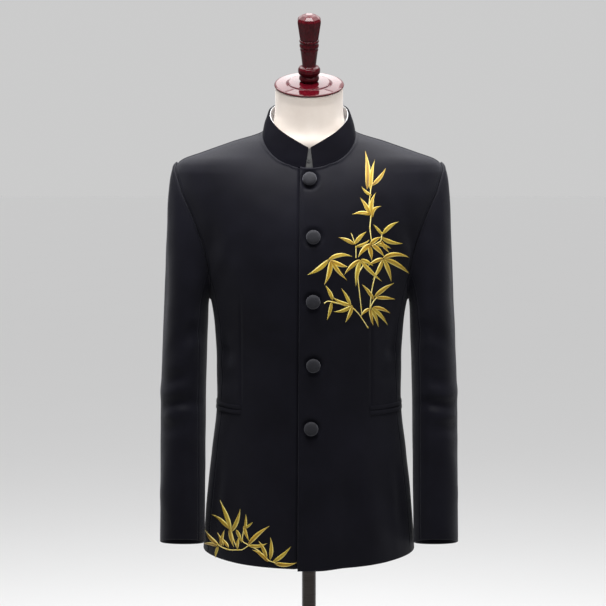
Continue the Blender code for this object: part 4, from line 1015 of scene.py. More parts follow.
def cloth_material(name, dark, light, roughness, sheen, specular):
    """Fine worsted: a diagonal weave, loose fibres, and slight shifts of tone."""
    nodes = material_nodes(name)
    weave = nodes.stripes(1.0 / TWILL, math.radians(63), 1.2)
    yarn = nodes.stripes(0.62 / TWILL, math.radians(4), 2.0)
    fibre = nodes.noise(2600.0, 2.0, 0.7)
    cloud = nodes.noise(16.0, 4.0, 0.55)
    mix = nodes.math("ADD", nodes.math("MULTIPLY", cloud, 0.6), nodes.math("MULTIPLY", fibre, 0.4))
    nodes.set(
        Base_Color=nodes.two_tone(mix, dark, light, 0.32, 0.68),
        Roughness=nodes.scaled(fibre, roughness - 0.06, roughness + 0.08), Specular_IOR_Level=specular,
        Sheen_Weight=sheen, Sheen_Roughness=0.50, Sheen_Tint=(0.74, 0.75, 0.84, 1.0),
    )
    nodes.bump((
        (weave, 0.30, 0.00012), (yarn, 0.16, 0.00010), (fibre, 0.35, 0.00010), (cloud, 0.12, 0.0012),
    ))
    return nodes.owner


def thread_material():
    """Satin stitch: shiny threads side by side, gold in the leaf and paler along its edges."""
    nodes = material_nodes("embroidery_thread")
    tone = nodes.add("ShaderNodeVertexColor", layer_name="tone").outputs["Color"]
    split = nodes.add("ShaderNodeSeparateColor", {"Color": tone}).outputs
    threads = nodes.stripes(340.0, 0.0, 0.6)
    fine = nodes.noise(900.0, 2.0, 0.6)
    pale = nodes.math("ADD", split["Red"], nodes.scaled(fine, -0.16, 0.16))
    gold = nodes.ramp(pale, (
        (0.00, (0.110, 0.044, 0.0015)), (0.34, (0.310, 0.175, 0.005)), (0.66, (0.430, 0.295, 0.020)),
        (1.00, (0.640, 0.540, 0.210)),
    ))
    olive = nodes.add("ShaderNodeMix", {
        "Factor": nodes.scaled(split["Green"], 0.0, 0.45), "B": (0.330, 0.300, 0.035, 1.0),
    }, data_type="RGBA")
    nodes.tree.links.new(gold, olive.inputs["A"])
    nodes.set(
        Base_Color=olive.outputs["Result"], Roughness=nodes.scaled(threads, 0.30, 0.46),
        Specular_IOR_Level=0.26, Sheen_Weight=0.05,
    )
    nodes.bump(((threads, 0.55, 0.00022), (fine, 0.15, 0.0001)))
    return nodes.owner


def lacquer_material():
    nodes = material_nodes("dark_red_lacquer")
    grain = nodes.noise(60.0, 5.0, 0.6, (6.0, 6.0, 0.8))
    peel = nodes.noise(140.0, 2.0, 0.4)
    nodes.set(
        Base_Color=nodes.two_tone(grain, (0.016, 0.0006, 0.0014), (0.050, 0.0018, 0.0046)),
        Roughness=nodes.scaled(grain, 0.22, 0.32), IOR=1.02, Coat_Weight=0.95, Coat_Roughness=0.03,
        Coat_IOR=1.21,
    )
    nodes.bump(((peel, 0.008, 0.0006),))
    return nodes.owner


def jersey_material():
    """Cream knit, with painted shade darkening it inside the collar."""
    nodes = material_nodes("form_jersey")
    knit = nodes.stripes(330.0, math.radians(90), 1.4)
    rib = nodes.stripes(420.0, 0.0, 1.0)
    cloud = nodes.noise(22.0, 4.0, 0.5)
    cream = nodes.two_tone(cloud, (0.525, 0.460, 0.408), (0.600, 0.540, 0.490))
    nodes.set(
        # Painted shade: the cream darkens downwards from z 1.240 to 1.212, inside the collar and its notch.
        Base_Color=nodes.shaded(cream, nodes.along("Z"), 1.212, 1.240, 0.15),
        Roughness=nodes.scaled(cloud, 0.78, 0.90), Specular_IOR_Level=0.2, Sheen_Weight=0.15,
    )
    nodes.bump(((knit, 0.20, 0.00012), (rib, 0.14, 0.00010)))
    return nodes.owner


def lining_material():
    """White cotton, with painted shade darkening it in the collar's notch."""
    nodes = material_nodes("collar_lining_cloth")
    weave = nodes.stripes(700.0, math.radians(45), 0.5)
    cloud = nodes.noise(60.0, 3.0, 0.5)
    white = nodes.two_tone(cloud, (0.560, 0.560, 0.570), (0.680, 0.680, 0.690))
    nodes.set(
        # Painted shade: the white darkens towards the front middle, where the collar's notch is.
        Base_Color=nodes.shaded(white, nodes.math("ABSOLUTE", nodes.along("X"), 0.0), 0.010, 0.026, 0.04),
        Roughness=nodes.scaled(cloud, 0.50, 0.62), Specular_IOR_Level=0.06,
    )
    nodes.bump(((weave, 0.12, 0.0001),))
    return nodes.owner


def steel_material(name, dark, light, roughness):
    nodes = material_nodes(name)
    brushed = nodes.noise(240.0, 4.0, 0.7, (0.15, 0.15, 8.0))
    smudge = nodes.noise(14.0, 3.0, 0.5)
    nodes.set(
        Base_Color=nodes.two_tone(brushed, dark, light), Metallic=1.0,
        Roughness=nodes.scaled(smudge, roughness - 0.05, roughness + 0.08),
    )
    nodes.bump(((brushed, 0.06, 0.0002),))
    return nodes.owner


def plain_material(name, colour, roughness, scale, spread, **more):
    """One colour with a slight cloudiness."""
    nodes = material_nodes(name)
    cloud = nodes.noise(scale, 4.0, 0.5)
    low = tuple(c * (1 - spread) for c in colour)
    high = tuple(c * (1 + spread) for c in colour)
    nodes.set(
        Base_Color=nodes.two_tone(cloud, low, high),
        Roughness=nodes.scaled(cloud, roughness, roughness + 0.1), **more)
    return nodes.owner


TWILL = 0.0011
wool = cloth_material(
    "black_worsted", (0.0016, 0.0015, 0.0030), (0.0040, 0.0039, 0.0068), 0.48, 0.060, 0.045)
# The covered buttons' copy of the suiting, with more sheen: its lighter colour is painted light on their
# domes.
painted_light_button_wool = cloth_material(
    "button_worsted", (0.0060, 0.0060, 0.0078), (0.0125, 0.0125, 0.0150), 0.60, 0.26, 0.08)
# The collar's copy of the suiting, with less sheen and specular: its darker colour is painted shade.
painted_shade_collar_wool = cloth_material(
    "collar_worsted_painted_shade", (0.0008, 0.0007, 0.0015), (0.0019, 0.0018, 0.0034), 0.56, 0.022, 0.008)
thread = thread_material()
lacquer = lacquer_material()
jersey = jersey_material()
lining_cloth = lining_material()
steel = steel_material("satin_steel", (0.016, 0.013, 0.012), (0.046, 0.041, 0.039), 0.30)
hook_black = plain_material("blackened_hook", (0.006, 0.006, 0.007), 0.35, 300.0, 0.3)
black_iron = plain_material("base_enamel", (0.022, 0.022, 0.024), 0.34, 90.0, 0.25)


def finish(thing, material, slot, *nodes):
    thing.data.materials.clear()
    thing.data.materials.append(material)
    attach(thing, "root")
    if nodes:
        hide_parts(*nodes)
    return thing


# Cloth pieces

ROWS_BELOW_ARM = 130
ROWS_ALONG_ARM = 60
ROWS_ON_SHOULDER = 28
ROWS_OF_HEAD = 60
ROWS_OF_ARM = 120
WIDE_ENDS = (0.0028, 0.0058, 0.0095, 0.0145, 0.021, 0.030)
NARROW_ENDS = (0.006, 0.013, 0.022, 0.034, 0.050)
FRONT_SHARES = clustered(86, WIDE_ENDS)
BACK_SHARES = clustered(76, WIDE_ENDS)
SIDE_SHARES = clustered(26, NARROW_ENDS)
SLEEVE_SHARES = clustered(64, (0.0032, 0.0068, 0.0115, 0.018, 0.027))
UNDER_SHARES = clustered(30, NARROW_ENDS)
WELT_SHARES = clustered(60, (0.004, 0.009, 0.016))
COLLAR_SHARES = clustered(150, (0.0012, 0.0028, 0.005, 0.008, 0.012))
COLLAR_RISES = np.array((
    0, 0.012, 0.03, 0.055, 0.09, 0.14, 0.2, 0.3, 0.4, 0.5, 0.6, 0.7, 0.78, 0.85, 0.90, 0.94, 0.965,
    0.985, 1.0,
))


def with_fine_ends(heights, steps=(0.0005, 0.0011, 0.0020, 0.0032, 0.0048)):
    """Add rows close to the first and last heights."""
    rising = 1 if heights[-1] > heights[0] else -1
    low = [heights[0] + rising * s for s in steps]
    top = [heights[-1] - rising * s for s in steps][::-1]
    keep = [h for h in heights[1:-1] if rising * (h - low[-1]) > 0.001 and rising * (top[0] - h) > 0.001]
    return np.array([heights[0]] + low + keep + top + [heights[-1]])


def raised_hem(turn, z):
    return z + HEM_SIDE_RISE * np.sin(turn) ** 2 * (1 - smooth_step(HEM_Z, HEM_RISE_TOP, z))


def front_sheet(side, reach_top, reach_hem, on_top):
    angles = neck_angles(-math.asin(reach_top / NECK_HALF_WIDTH), math.pi / 2, FRONT_SHARES)[None, :]
    share = FRONT_SHARES[None, :]
    climb = climb_of(with_fine_ends(edge_heights()))[:, None]
    low_z = HEM_Z - (LAP_DROP if on_top else 0.0) * (1 - smooth_step(*LAP_DROP_FADE, share))
    top_z = front_neck_z(angles)
    top_start = front_start_turn(top_z, reach_top, reach_hem)
    top_turn = turn_at_x(NECK_HALF_WIDTH * np.sin(angles), top_z)
    top_share = (top_turn - top_start) / (front_edge_turn(top_z) - top_start)
    z = blend(low_z, top_z, climb)
    share = blend(share, top_share, smooth_step(NECK_FAN_START, 1.0, climb))
    turn = blend(front_start_turn(z, reach_top, reach_hem), front_edge_turn(z), share)
    x = body_section(turn, z)[0][..., 0]
    return body_surface(turn * side, raised_hem(turn, z), lap_lift(x) if on_top else 0.0)


HALVINGS = 50


def back_sheet(side):
    share = (1 - BACK_SHARES)[None, :]
    low = np.zeros_like(share)
    high = np.full_like(share, math.pi / 2)
    for _ in range(HALVINGS):
        middle = (low + high) / 2
        turn = np.arcsin(np.sin(middle) ** (ROUNDNESS / 2))
        short = turn < share * (math.pi - back_edge_turn(back_neck_z(middle)))
        low = np.where(short, middle, low)
        high = np.where(short, high, middle)
    climb = climb_of(with_fine_ends(edge_heights()))[:, None]
    z = blend(HEM_Z, back_neck_z((low + high) / 2), climb)
    turn = math.pi - share * (math.pi - back_edge_turn(z))
    return body_surface(turn * side, raised_hem(turn, z))


def side_sheet(side):
    share = SIDE_SHARES[None, :]
    top_turn, top_z = armhole_place(blend(FRONT_JUNCTION, BACK_JUNCTION, share))
    climb = with_fine_ends(np.linspace(0, 1, ROWS_BELOW_ARM), (0.001, 0.0022, 0.004, 0.0065, 0.010))[:, None]
    z = blend(HEM_Z, top_z, climb)
    seam_z = np.minimum(z, JUNCTION_Z)
    turn = blend(front_edge_turn(seam_z), back_edge_turn(seam_z), share)
    turn = turn + (top_turn - blend(FRONT_JUNCTION_TURN, BACK_JUNCTION_TURN, share)) * climb**3
    return body_surface(turn * side, raised_hem(turn, z))


def sleeve_ring(angle, along):
    angle, along = np.broadcast_arrays(angle, along)
    centre = np.stack([sleeve_table.value(name, along) for name in ("x", "y", "z")], axis=-1)
    half_x = sleeve_table.value("half_x", along)
    half_y = sleeve_table.value("half_y", along)
    tilt = np.radians(sleeve_table.value("tilt", along))
    across = half_x * signed_power(np.cos(angle), 2 / ROUNDNESS)
    forward = half_y * signed_power(np.sin(angle), 2 / ROUNDNESS)
    outward = unit(stack(np.cos(angle) / half_x, -np.sin(angle) / half_y, 0.0))
    folds = 0.0
    for fold_along, fold_angle, half_along, half_angle, depth in SLEEVE_FOLD_ROWS:
        away = (angle - math.radians(fold_angle) + math.pi) % (2 * math.pi) - math.pi
        around = soft_hump(away, 0.0, math.radians(half_angle))
        folds = folds + depth * soft_hump(along, fold_along, half_along) * around
    ring = centre + stack(across, -forward * np.cos(tilt), forward * np.sin(tilt))
    return ring + outward * folds[..., None]


def sleeve_head(top_angle, angle, share):
    turn, z = armhole_place(top_angle)
    start = body_surface(turn, z)[0]
    end = sleeve_ring(angle, np.zeros_like(angle))
    length = np.linalg.norm(end - start, axis=-1, keepdims=True)
    radial = stack(0.0, -np.sin(top_angle), np.cos(top_angle))
    leave = (np.array((HEAD_LEAVE_X, 0.0, 0.0)) + radial * HEAD_RISE) * (HEAD_PULL * length)
    arrive = np.array((HEAD_ARRIVE_X, 0.0, -1.0)) * (HEAD_DROP_PULL * length)
    return hermite(share[..., None], start, end, leave, arrive)


def sleeve_points(top_angle, cuff_angle, down):
    top_angle, cuff_angle, down = np.broadcast_arrays(top_angle, cuff_angle, down)
    angle = blend(top_angle, cuff_angle, smooth_step(0.0, 2.0, down))
    middle = blend(top_angle, cuff_angle, 0.5)
    head = sleeve_head(top_angle, middle, np.minimum(down, 1.0))
    arm = sleeve_ring(angle, np.maximum(down - 1.0, 0.0))
    return np.where((down < 1.0)[..., None], head, arm)


def sleeve_sheet(side, top_angle, cuff_angle):
    head = np.linspace(0, 1, ROWS_OF_HEAD, endpoint=False)
    downs = np.concatenate((head, np.linspace(1, 2, ROWS_OF_ARM)))
    downs = with_fine_ends(downs[::-1], (0.0014, 0.003, 0.0055, 0.009, 0.014))[:, None]
    points = sleeve_points(top_angle[None, :], cuff_angle[None, :], downs)
    normals = unit(np.cross(np.gradient(points, axis=1), np.gradient(points, axis=0)))
    radial = points - points.mean(axis=1, keepdims=True)
    outward = np.sign(np.sum(normals * radial, axis=-1).sum())
    return mirrored(points, side), mirrored(normals * outward, side)


def add_body():
    reaches = {"left": (LAP_REACH_TOP, LAP_REACH_HEM), "right": (UNDERLAP_REACH, UNDERLAP_REACH)}
    pieces = {}
    for hand, side in HANDS:
        def front_detail(points):
            return body_detail(points, hand)
        front = front_sheet(side, *reaches[hand], hand == "left")
        for part, sheet, kinds, detail in (
            ("front_", front, edges("free", "neck", "free", "side"), front_detail),
            ("side_", side_sheet(side), edges("free", "seam", "pressed", "pressed"), body_detail),
            ("back_", back_sheet(side), edges("free", "neck", "side", "pressed"), body_detail),
        ):
            node = part + hand
            pieces[node] = finish(shell(node + "_cloth", *sheet, WALL, kinds, detail), wool, "wool", node)
    return pieces


def add_sleeves():
    share = SLEEVE_SHARES
    upper = (blend(HIND_JUNCTION, FRONT_JUNCTION, share), blend(HIND_SEAM_CUFF, FRONT_SEAM_CUFF, share))
    knots = [blend(FRONT_JUNCTION, BACK_JUNCTION, i / 4) for i in range(5)] + [HIND_JUNCTION + 2 * math.pi]
    low_angles = np.interp(UNDER_SHARES * (len(knots) - 1), np.arange(len(knots)), knots)
    under = (low_angles, blend(FRONT_SEAM_CUFF, HIND_SEAM_CUFF + 2 * math.pi, UNDER_SHARES))
    pieces = {}
    for hand, side in HANDS:
        creases = []
        for width, depth, spots in SLEEVE_CREASES[hand]:
            spots = smooth_line(spots)
            angle = np.radians(spots[:, 0])
            line = sleeve_points(angle, angle, spots[:, 1])
            creases.append((width, depth * SLEEVE_CREASE_SHARE, mirrored(line, side)))

        def detail(points):
            return crease_offset(points, creases) + ripple(points)
        kinds = edges("free", "head", "pressed", "pressed")
        for kind, angles in (("top", upper), ("under", under)):
            node = "%s_sleeve_%s" % (kind, hand)
            cloth = shell(node + "_cloth", *sleeve_sheet(side, *angles), WALL, kinds, detail)
            pieces[node] = finish(cloth, wool, "wool", node)
        add_cuff_button(hand, side)
    return pieces


# Collar

def collar_low_and_top(angle, lapped):
    angle = (angle + math.pi) % (2 * math.pi) - math.pi
    side = np.where(angle >= 0, 1.0, -1.0)
    turn = np.abs(angle)
    lifted = lapped & (side > 0) & (turn < math.pi / 2)
    lift = np.where(lifted, lap_lift(NECK_HALF_WIDTH * np.sin(turn)), 0.0)
    low, normal = neck_point(turn, side, lift)
    ahead = neck_point(np.minimum(turn + 0.01, math.pi), side, lift)[0]
    behind = neck_point(np.maximum(turn - 0.01, 0.0), side, lift)[0]
    along = unit(ahead - behind) * side[..., None]
    up_slope = unit(np.cross(normal, along))
    up_slope *= np.where(up_slope[..., 2:] < 0, -1.0, 1.0)
    degrees = np.degrees(turn)
    top = stack(collar_table.value("x", degrees) * side, collar_table.value("y", degrees),
                collar_table.value("z", degrees))
    return low - up_slope * COLLAR_TUCK, top


def collar_points(angle, rise, lapped=True):
    angle, rise = np.broadcast_arrays(angle, rise)
    low, top = collar_low_and_top(angle, np.full(angle.shape, lapped))
    outward = unit(low * np.array((1.0, 1.0, 0.0)) - np.array((0.0, COLLAR_AXIS_Y, 0.0)))
    return blend(low, top, rise[..., None]) + outward * (COLLAR_BULGE * 4 * rise * (1 - rise))[..., None]


def collar_outward(points):
    return unit((points - np.array((0.0, COLLAR_AXIS_Y, 0.0))) * np.array((1.0, 1.0, 0.0)))


def collar_angle_grid(rises):
    low = neck_angles(COLLAR_END_LEFT_LOW, 2 * math.pi - COLLAR_END_RIGHT_LOW, COLLAR_SHARES)[None, :]
    share = COLLAR_SHARES[None, :]
    start_move = (COLLAR_END_LEFT_TOP - COLLAR_END_LEFT_LOW) * rises[:, None]
    end_move = (COLLAR_END_RIGHT_LOW - COLLAR_END_RIGHT_TOP) * rises[:, None]
    return low + start_move * (1 - share) ** COLLAR_END_FADE + end_move * share**COLLAR_END_FADE


def collar_detail(points):
    """A slight unevenness, and the line of stitches above the collar's seam."""
    u, v = spans(points)
    return 0.00016 * np.sin(u * 140 + 1.0) * np.sin(v * 60) - 0.00035 * bell(v, 0.004, 0.0007)


def add_collar():
    rises = COLLAR_RISES
    kinds = edges("free", "free", "free", "free")
    angles = collar_angle_grid(rises)
    points = collar_points(angles, rises[:, None])
    collar = shell("collar_cloth", points, collar_outward(points), COLLAR_WALL, kinds, collar_detail)
    finish(collar, painted_shade_collar_wool, "wool", "collar")

    whole = 2 * math.pi
    behind_notch = (
        LINING_SPLIT + LINING_SLIT, LINING_SPLIT / 3, 0.0,
        whole, whole + LINING_SPLIT / 2, whole + LINING_SPLIT,
    )
    added = np.ones((len(rises), 1)) * np.array(behind_notch)
    angles = np.sort(np.concatenate((angles[:, :-1], added), axis=1), axis=1)
    face = collar_points(angles, rises[:, None], False)
    low, top = (collar_points(angles, np.full((len(rises), 1), rise), False) for rise in (0.0, 1.0))
    normals = grid_normals(face, collar_outward(face))
    shown = (LINING_SHOWS * smooth_step(0.9, 1.0, rises))[:, None, None]
    inner = face - normals * (COLLAR_WALL + LINING_GAP) + unit(top - low) * shown
    lining = shell("collar_lining_cloth", inner, collar_outward(inner), LINING_WALL, kinds, None)
    finish(lining, lining_cloth, "lining", "collar_lining")
    return collar, lining


# Turned and small pieces

def rounded_profile(profile, radius=0.0004, steps=4):
    """Round every inner corner of a profile of (height, radius) rows."""
    rows = [np.array(row, float) for row in profile]
    result = [rows[0]]
    for before, corner, after in zip(rows, rows[1:], rows[2:]):
        a = corner + (before - corner) * min(radius / np.linalg.norm(before - corner), 0.45)
        b = corner + (after - corner) * min(radius / np.linalg.norm(after - corner), 0.45)
        result.extend(bent_line(a, corner, b, t) for t in np.linspace(0, 1, steps))
    result.append(rows[-1])
    return np.array(result)


def turned(name, profile, place, steps, wobble=None):
    """A profile turned about its axis, closed at both ends on the axis."""
    profile = np.asarray(profile)
    angles = np.linspace(0, 2 * math.pi, steps, endpoint=False)
    radius = profile[1:-1, 1][:, None] * np.ones(steps)
    height = profile[1:-1, 0][:, None] * np.ones(steps)
    if wobble:
        radius, height = wobble(radius, height, angles)
    body = stack(radius * np.cos(angles), radius * np.sin(angles), height).reshape(-1, 3)
    verts = np.concatenate((body, [(0, 0, profile[0, 0]), (0, 0, profile[-1, 0])]))
    rows = len(profile) - 2
    quads = []
    for r in range(rows - 1):
        for c in range(steps):
            k = (c + 1) % steps
            quads.append((r * steps + c, (r + 1) * steps + c, (r + 1) * steps + k, r * steps + k))
    top, low = len(body), len(body) + 1
    for c in range(steps):
        k = (c + 1) % steps
        quads.append((top, c, k))
        quads.append((low, (rows - 1) * steps + k, (rows - 1) * steps + c))
    thing = mesh_object(name, verts, quads, verts[:, :2])
    thing.data.transform(place)
    thing.data.update()
    return thing


def facing(place, normal):
    return Matrix.Translation(Vector(place)) @ Vector(normal).to_track_quat("Z", "Y").to_matrix().to_4x4()


# A covered button's outline as shares of its height and radius
BUTTON_OUTLINE = np.array((
    (1.0, 0.0), (0.985, 0.25), (0.95, 0.45), (0.88, 0.64), (0.76, 0.80), (0.60, 0.92), (0.42, 0.985),
    (0.26, 1.0), (0.13, 0.96), (0.04, 0.86), (0.0, 0.74), (0.0, 0.0),
))


def add_button(name, radius, height, rounding, steps, place, normal, node):
    profile = rounded_profile(BUTTON_OUTLINE * (height, radius), rounding)
    finish(turned(name, profile, facing(place, normal), steps, pleats), painted_light_button_wool, "button_cloth", node)


def pleats(radius, height, angles):
    """Small gathers where the cloth is drawn over a button's edge."""
    edge = smooth_step(0.6, 1.0, radius / radius.max())
    wave = np.sin(angles * 13 + 0.7) * 0.5 + np.sin(angles * 7 + 2.0) * 0.5
    return radius * (1 + 0.010 * edge * wave), height * (1 + 0.03 * edge * wave)


def add_cuff_button(hand, side):
    span = SLEEVE_ROWS[-2][3] - SLEEVE_ROWS[-1][3]
    along = 1.0 - CUFF_BUTTON_RISE / span * (SLEEVE_ROWS[-1][0] - SLEEVE_ROWS[-2][0])
    turns = CUFF_BUTTON_TURN + np.array((0.0, 0.01, -0.01, 0.0))
    spots = sleeve_ring(turns, np.array((along, along, along, along + 0.01)))
    normal = unit(np.cross(spots[1] - spots[2], spots[3] - spots[0]))
    place = mirrored(spots[0] + normal * LIE_GAP, side)
    add_button("cuff_button_cloth_" + hand, CUFF_BUTTON_RADIUS, CUFF_BUTTON_HEIGHT, 0.0002, 40,
               place, mirrored(normal, side), "cuff_button_" + hand)


def add_buttons():
    for number, (x, z) in enumerate(BUTTON_PLACES, 1):
        place, normal = body_surface(turn_at_x(np.array(x), np.array(z)), np.array(z), LAP_LIFT + LIE_GAP)
        add_button("button_cloth_%d" % number, BUTTON_RADIUS, BUTTON_HEIGHT, 0.0003, 64,
                   place, normal, "button_%d" % number)


def welt_grid(side, inner_x, low_z):
    samples = turn_at_x(np.array(inner_x), POCKET_Z) + np.radians(np.arange(0, 90, 0.1))
    lengths = lengths_along(body_surface(samples, np.full_like(samples, POCKET_Z))[0])
    turns = np.interp(WELT_SHARES * POCKET_LENGTH, lengths, samples)[None, :]
    share = np.array((0, 0.04, 0.10, 0.2, 0.35, 0.5, 0.65, 0.8, 0.9, 0.96, 1.0))[:, None]
    bulge = WELT_BULGE * (1 - (2 * share - 1) ** 2)
    return body_surface(turns * side, low_z + WELT_HEIGHT * share, WELT_RISE + bulge)


def add_pockets():
    levels = {"upper": POCKET_Z + WELT_SLIT / 2, "lower": POCKET_Z - WELT_SLIT / 2 - WELT_HEIGHT}
    kinds = edges("free", "free", "free", "free")
    for hand, side in HANDS:
        for level, low_z in levels.items():
            node = "welt_%s_%s" % (level, hand)
            sheet = welt_grid(side, POCKET_INNER_X[hand], low_z)
            finish(shell(node + "_cloth", *sheet, WELT_WALL, kinds, body_detail), wool, "wool", node)


def torso_grid(turns):
    """The form's rings, kept inside the jacket below its neckline."""
    levels = np.unique(np.concatenate((
        np.linspace(TORSO_LOW_Z, NECK_BASE_LOW_Z, TORSO_RINGS),
        np.linspace(NECK_BASE_LOW_Z, NECK_BASE_TOP_Z, NECK_BASE_RINGS),
        [row[0] for row in FORM_ROWS],
    )))[:, None]
    raised = np.minimum(levels + FORM_DROP, SIDE_NECK_Z)
    below = levels < SIDE_NECK_Z - FORM_DROP
    half, front_y, back_y, side_y, roundness = (form_table.value(name, levels) for name in (
        "half_width", "front_y", "back_y", "side_y", "roundness"))
    half = np.where(below, np.minimum(half, body_table.value("half_width", raised)), half)
    front_y = np.where(below, np.maximum(front_y, body_table.value("front_y", raised) + FORM_PINCH), front_y)
    back_y = np.where(below, np.minimum(back_y, body_table.value("back_y", raised) - FORM_PINCH), back_y)
    power = 2 / roundness
    end_y = np.where(np.cos(turns) > 0, front_y, back_y)
    y = side_y + (end_y - side_y) * np.abs(np.cos(turns)) ** power
    return stack(half * signed_power(np.sin(turns), power), y, levels * np.ones_like(turns))


def neck_grid(turns):
    """The form's neck: rings that lean forward with its height."""
    places = np.linspace(0, 1, len(NECK_ROWS))
    table = Table(("p", "z", "y", "w", "d", "t"), [(p, *row) for p, row in zip(places, NECK_ROWS)])
    s = np.linspace(0, 1, NECK_RINGS)[:, None]
    z, y, half_width, half_depth, tilt = (table.value(name, s) for name in "zywdt")
    forward = half_depth * np.cos(turns)
    tilt = np.radians(tilt)
    return stack(half_width * np.sin(turns), y - forward * np.cos(tilt), z - forward * np.sin(tilt))


def form_grid():
    turns = np.linspace(0, 2 * math.pi, FORM_COLUMNS, endpoint=False)[None, :]
    grid = np.concatenate((torso_grid(turns), neck_grid(turns)))
    eased = grid.copy()
    join = slice(NECK_SMOOTH_ROW, len(grid) - NECK_KEPT_ROWS)
    for _ in range(NECK_SMOOTH_TIMES):
        between = (eased[:-2] + 2 * eased[1:-1] + eased[2:]) / 4
        eased[1:-1][join] = between[join]
    return blend(grid, eased, smooth_step(*NECK_FRONT_SHARES, np.cos(turns))[..., None])


def add_form():
    grid = form_grid()
    rows, columns = grid.shape[:2]
    i = np.arange(rows - 1)[:, None] * columns
    c = np.arange(columns)[None, :]
    k = (c + 1) % columns
    faces = np.stack((i + c, i + k, i + columns + k, i + columns + c), axis=-1).reshape(-1, 4).tolist()
    faces.append(range(columns)[::-1])
    faces.append(range((rows - 1) * columns, rows * columns))
    uv = np.stack((np.tile(np.linspace(0, KNIT_ROUND, columns), rows), grid[..., 2].ravel()), axis=-1)
    finish(mesh_object("form_cover", grid, faces, uv), jersey, "form_cloth", "form_torso")


def add_finial_head(place):
    """The finial's eight-sided top, with its corners bevelled."""
    bm = bmesh.new()
    rings = []
    for height, radius in FINIAL_HEAD_ROWS:
        turns = [2 * math.pi * (i + 0.5) / FINIAL_SIDES for i in range(FINIAL_SIDES)]
        rings.append([bm.verts.new((radius * math.sin(t), -radius * math.cos(t), height)) for t in turns])
    for low, high in zip(rings, rings[1:]):
        for i in range(FINIAL_SIDES):
            k = (i + 1) % FINIAL_SIDES
            bm.faces.new((low[i], low[k], high[k], high[i]))
    bm.faces.new(rings[0][::-1])
    bm.faces.new(rings[-1])
    bmesh.ops.recalc_face_normals(bm, faces=bm.faces)
    sharp = [edge for edge in bm.edges if edge.calc_face_angle(0.0) > FINIAL_FLAT_ANGLE]
    bmesh.ops.bevel(bm, geom=sharp, offset=FINIAL_BEVEL, segments=3, affect="EDGES", profile=0.6)
    bm.transform(place)
    data = bpy.data.meshes.new("finial_head_lacquer")
    bm.to_mesh(data)
    bm.free()
    data.shade_smooth()
    head = placed("finial_head_lacquer", data)
    head.modifiers.new("weighted", "WEIGHTED_NORMAL").keep_sharp = True
    finish(head, lacquer, "lacquer", "finial_head")


def add_turned(name, profile, rounding, arc_steps, place, steps, material, slot, node):
    thing = turned(name, rounded_profile(profile, rounding, arc_steps), place, steps)
    finish(thing, material, slot, node)


def add_stand():
    cap = Matrix.Translation(CAP_CENTRE) @ Matrix.Rotation(CAP_TILT, 4, "X")
    upright = Matrix.Identity(4)
    top = TORSO_LOW_Z - FORM_GAP
    flange_low = top - FLANGE_HEIGHT
    socket_low = top - SOCKET_HEIGHT
    pole = (
        (top, 0.0), (top, FLANGE_RADIUS), (flange_low, FLANGE_RADIUS), (flange_low, SOCKET_RADIUS),
        (socket_low, SOCKET_LOW_RADIUS), (socket_low, POLE_RADIUS),
        (POLE_LOW_Z, POLE_RADIUS), (POLE_LOW_Z, 0.0),
    )
    add_turned("neck_cap_lacquer", CAP_PROFILE, 0.0006, 5, cap, 128, lacquer, "lacquer", "neck_cap")
    add_turned("finial_stem_lacquer", STEM_PROFILE, 0.0008, 4, cap, 96, lacquer, "lacquer", "finial_stem")
    add_finial_head(cap)
    add_turned("pole_steel", pole, 0.0008, 4, upright, 64, steel, "steel", "pole")
    add_turned("base_enamel", BASE_PROFILE, 0.0015, 4, upright, 128, black_iron, "steel", "base")
    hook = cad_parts["collar_hook"]
    hook.data.materials.clear()
    hook.data.materials.append(hook_black)


# Embroidery

def seen_on_front(pixels):
    """Where picture points fall on the jacket's front: x and z."""
    direction = stack(
        (pixels[..., 0] - PICTURE / 2) / FOCAL,
        math.cos(CAMERA_PITCH) + (PICTURE / 2 - pixels[..., 1]) / FOCAL * math.sin(CAMERA_PITCH),
        -math.sin(CAMERA_PITCH) + (PICTURE / 2 - pixels[..., 1]) / FOCAL * math.cos(CAMERA_PITCH),
    )
    start = np.array(CAMERA_PLACE)
    y = np.full(pixels.shape[:-1], -0.12)
    for _ in range(24):
        point = start + direction * ((y - start[1]) / direction[..., 1])[..., None]
        limit = 0.985 * body_table.value("half_width", point[..., 2])
        x = np.clip(point[..., 0], -limit, limit)
        turn = turn_at_x(x, point[..., 2])
        y = blend(y, body_surface(turn, point[..., 2])[0][..., 1], 0.7)
    return x, point[..., 2]


def on_cloth(pixels, out, hand):
    x, z = seen_on_front(pixels)
    turn = turn_at_x(x, z)
    lift = lap_lift(x) if hand == "left" else 0.0
    points, normals = body_surface(turn, z, lift)
    return points + normals * (body_detail(points, hand) + out)[..., None]


def strip_points(centre, tangent, half, s, out, hand):
    """Points of a strip along a line of the picture, laid on the cloth and raised off it."""
    across = np.stack((-tangent[:, 1], tangent[:, 0]), axis=-1)
    pixels = centre[:, None, :] + across[:, None, :] * (half * s)[..., None]
    return on_cloth(pixels, out, hand)


def tones(pale, olive):
    return np.stack(np.broadcast_arrays(np.clip(pale, 0, 1), olive, 0.0, 1.0), axis=-1)


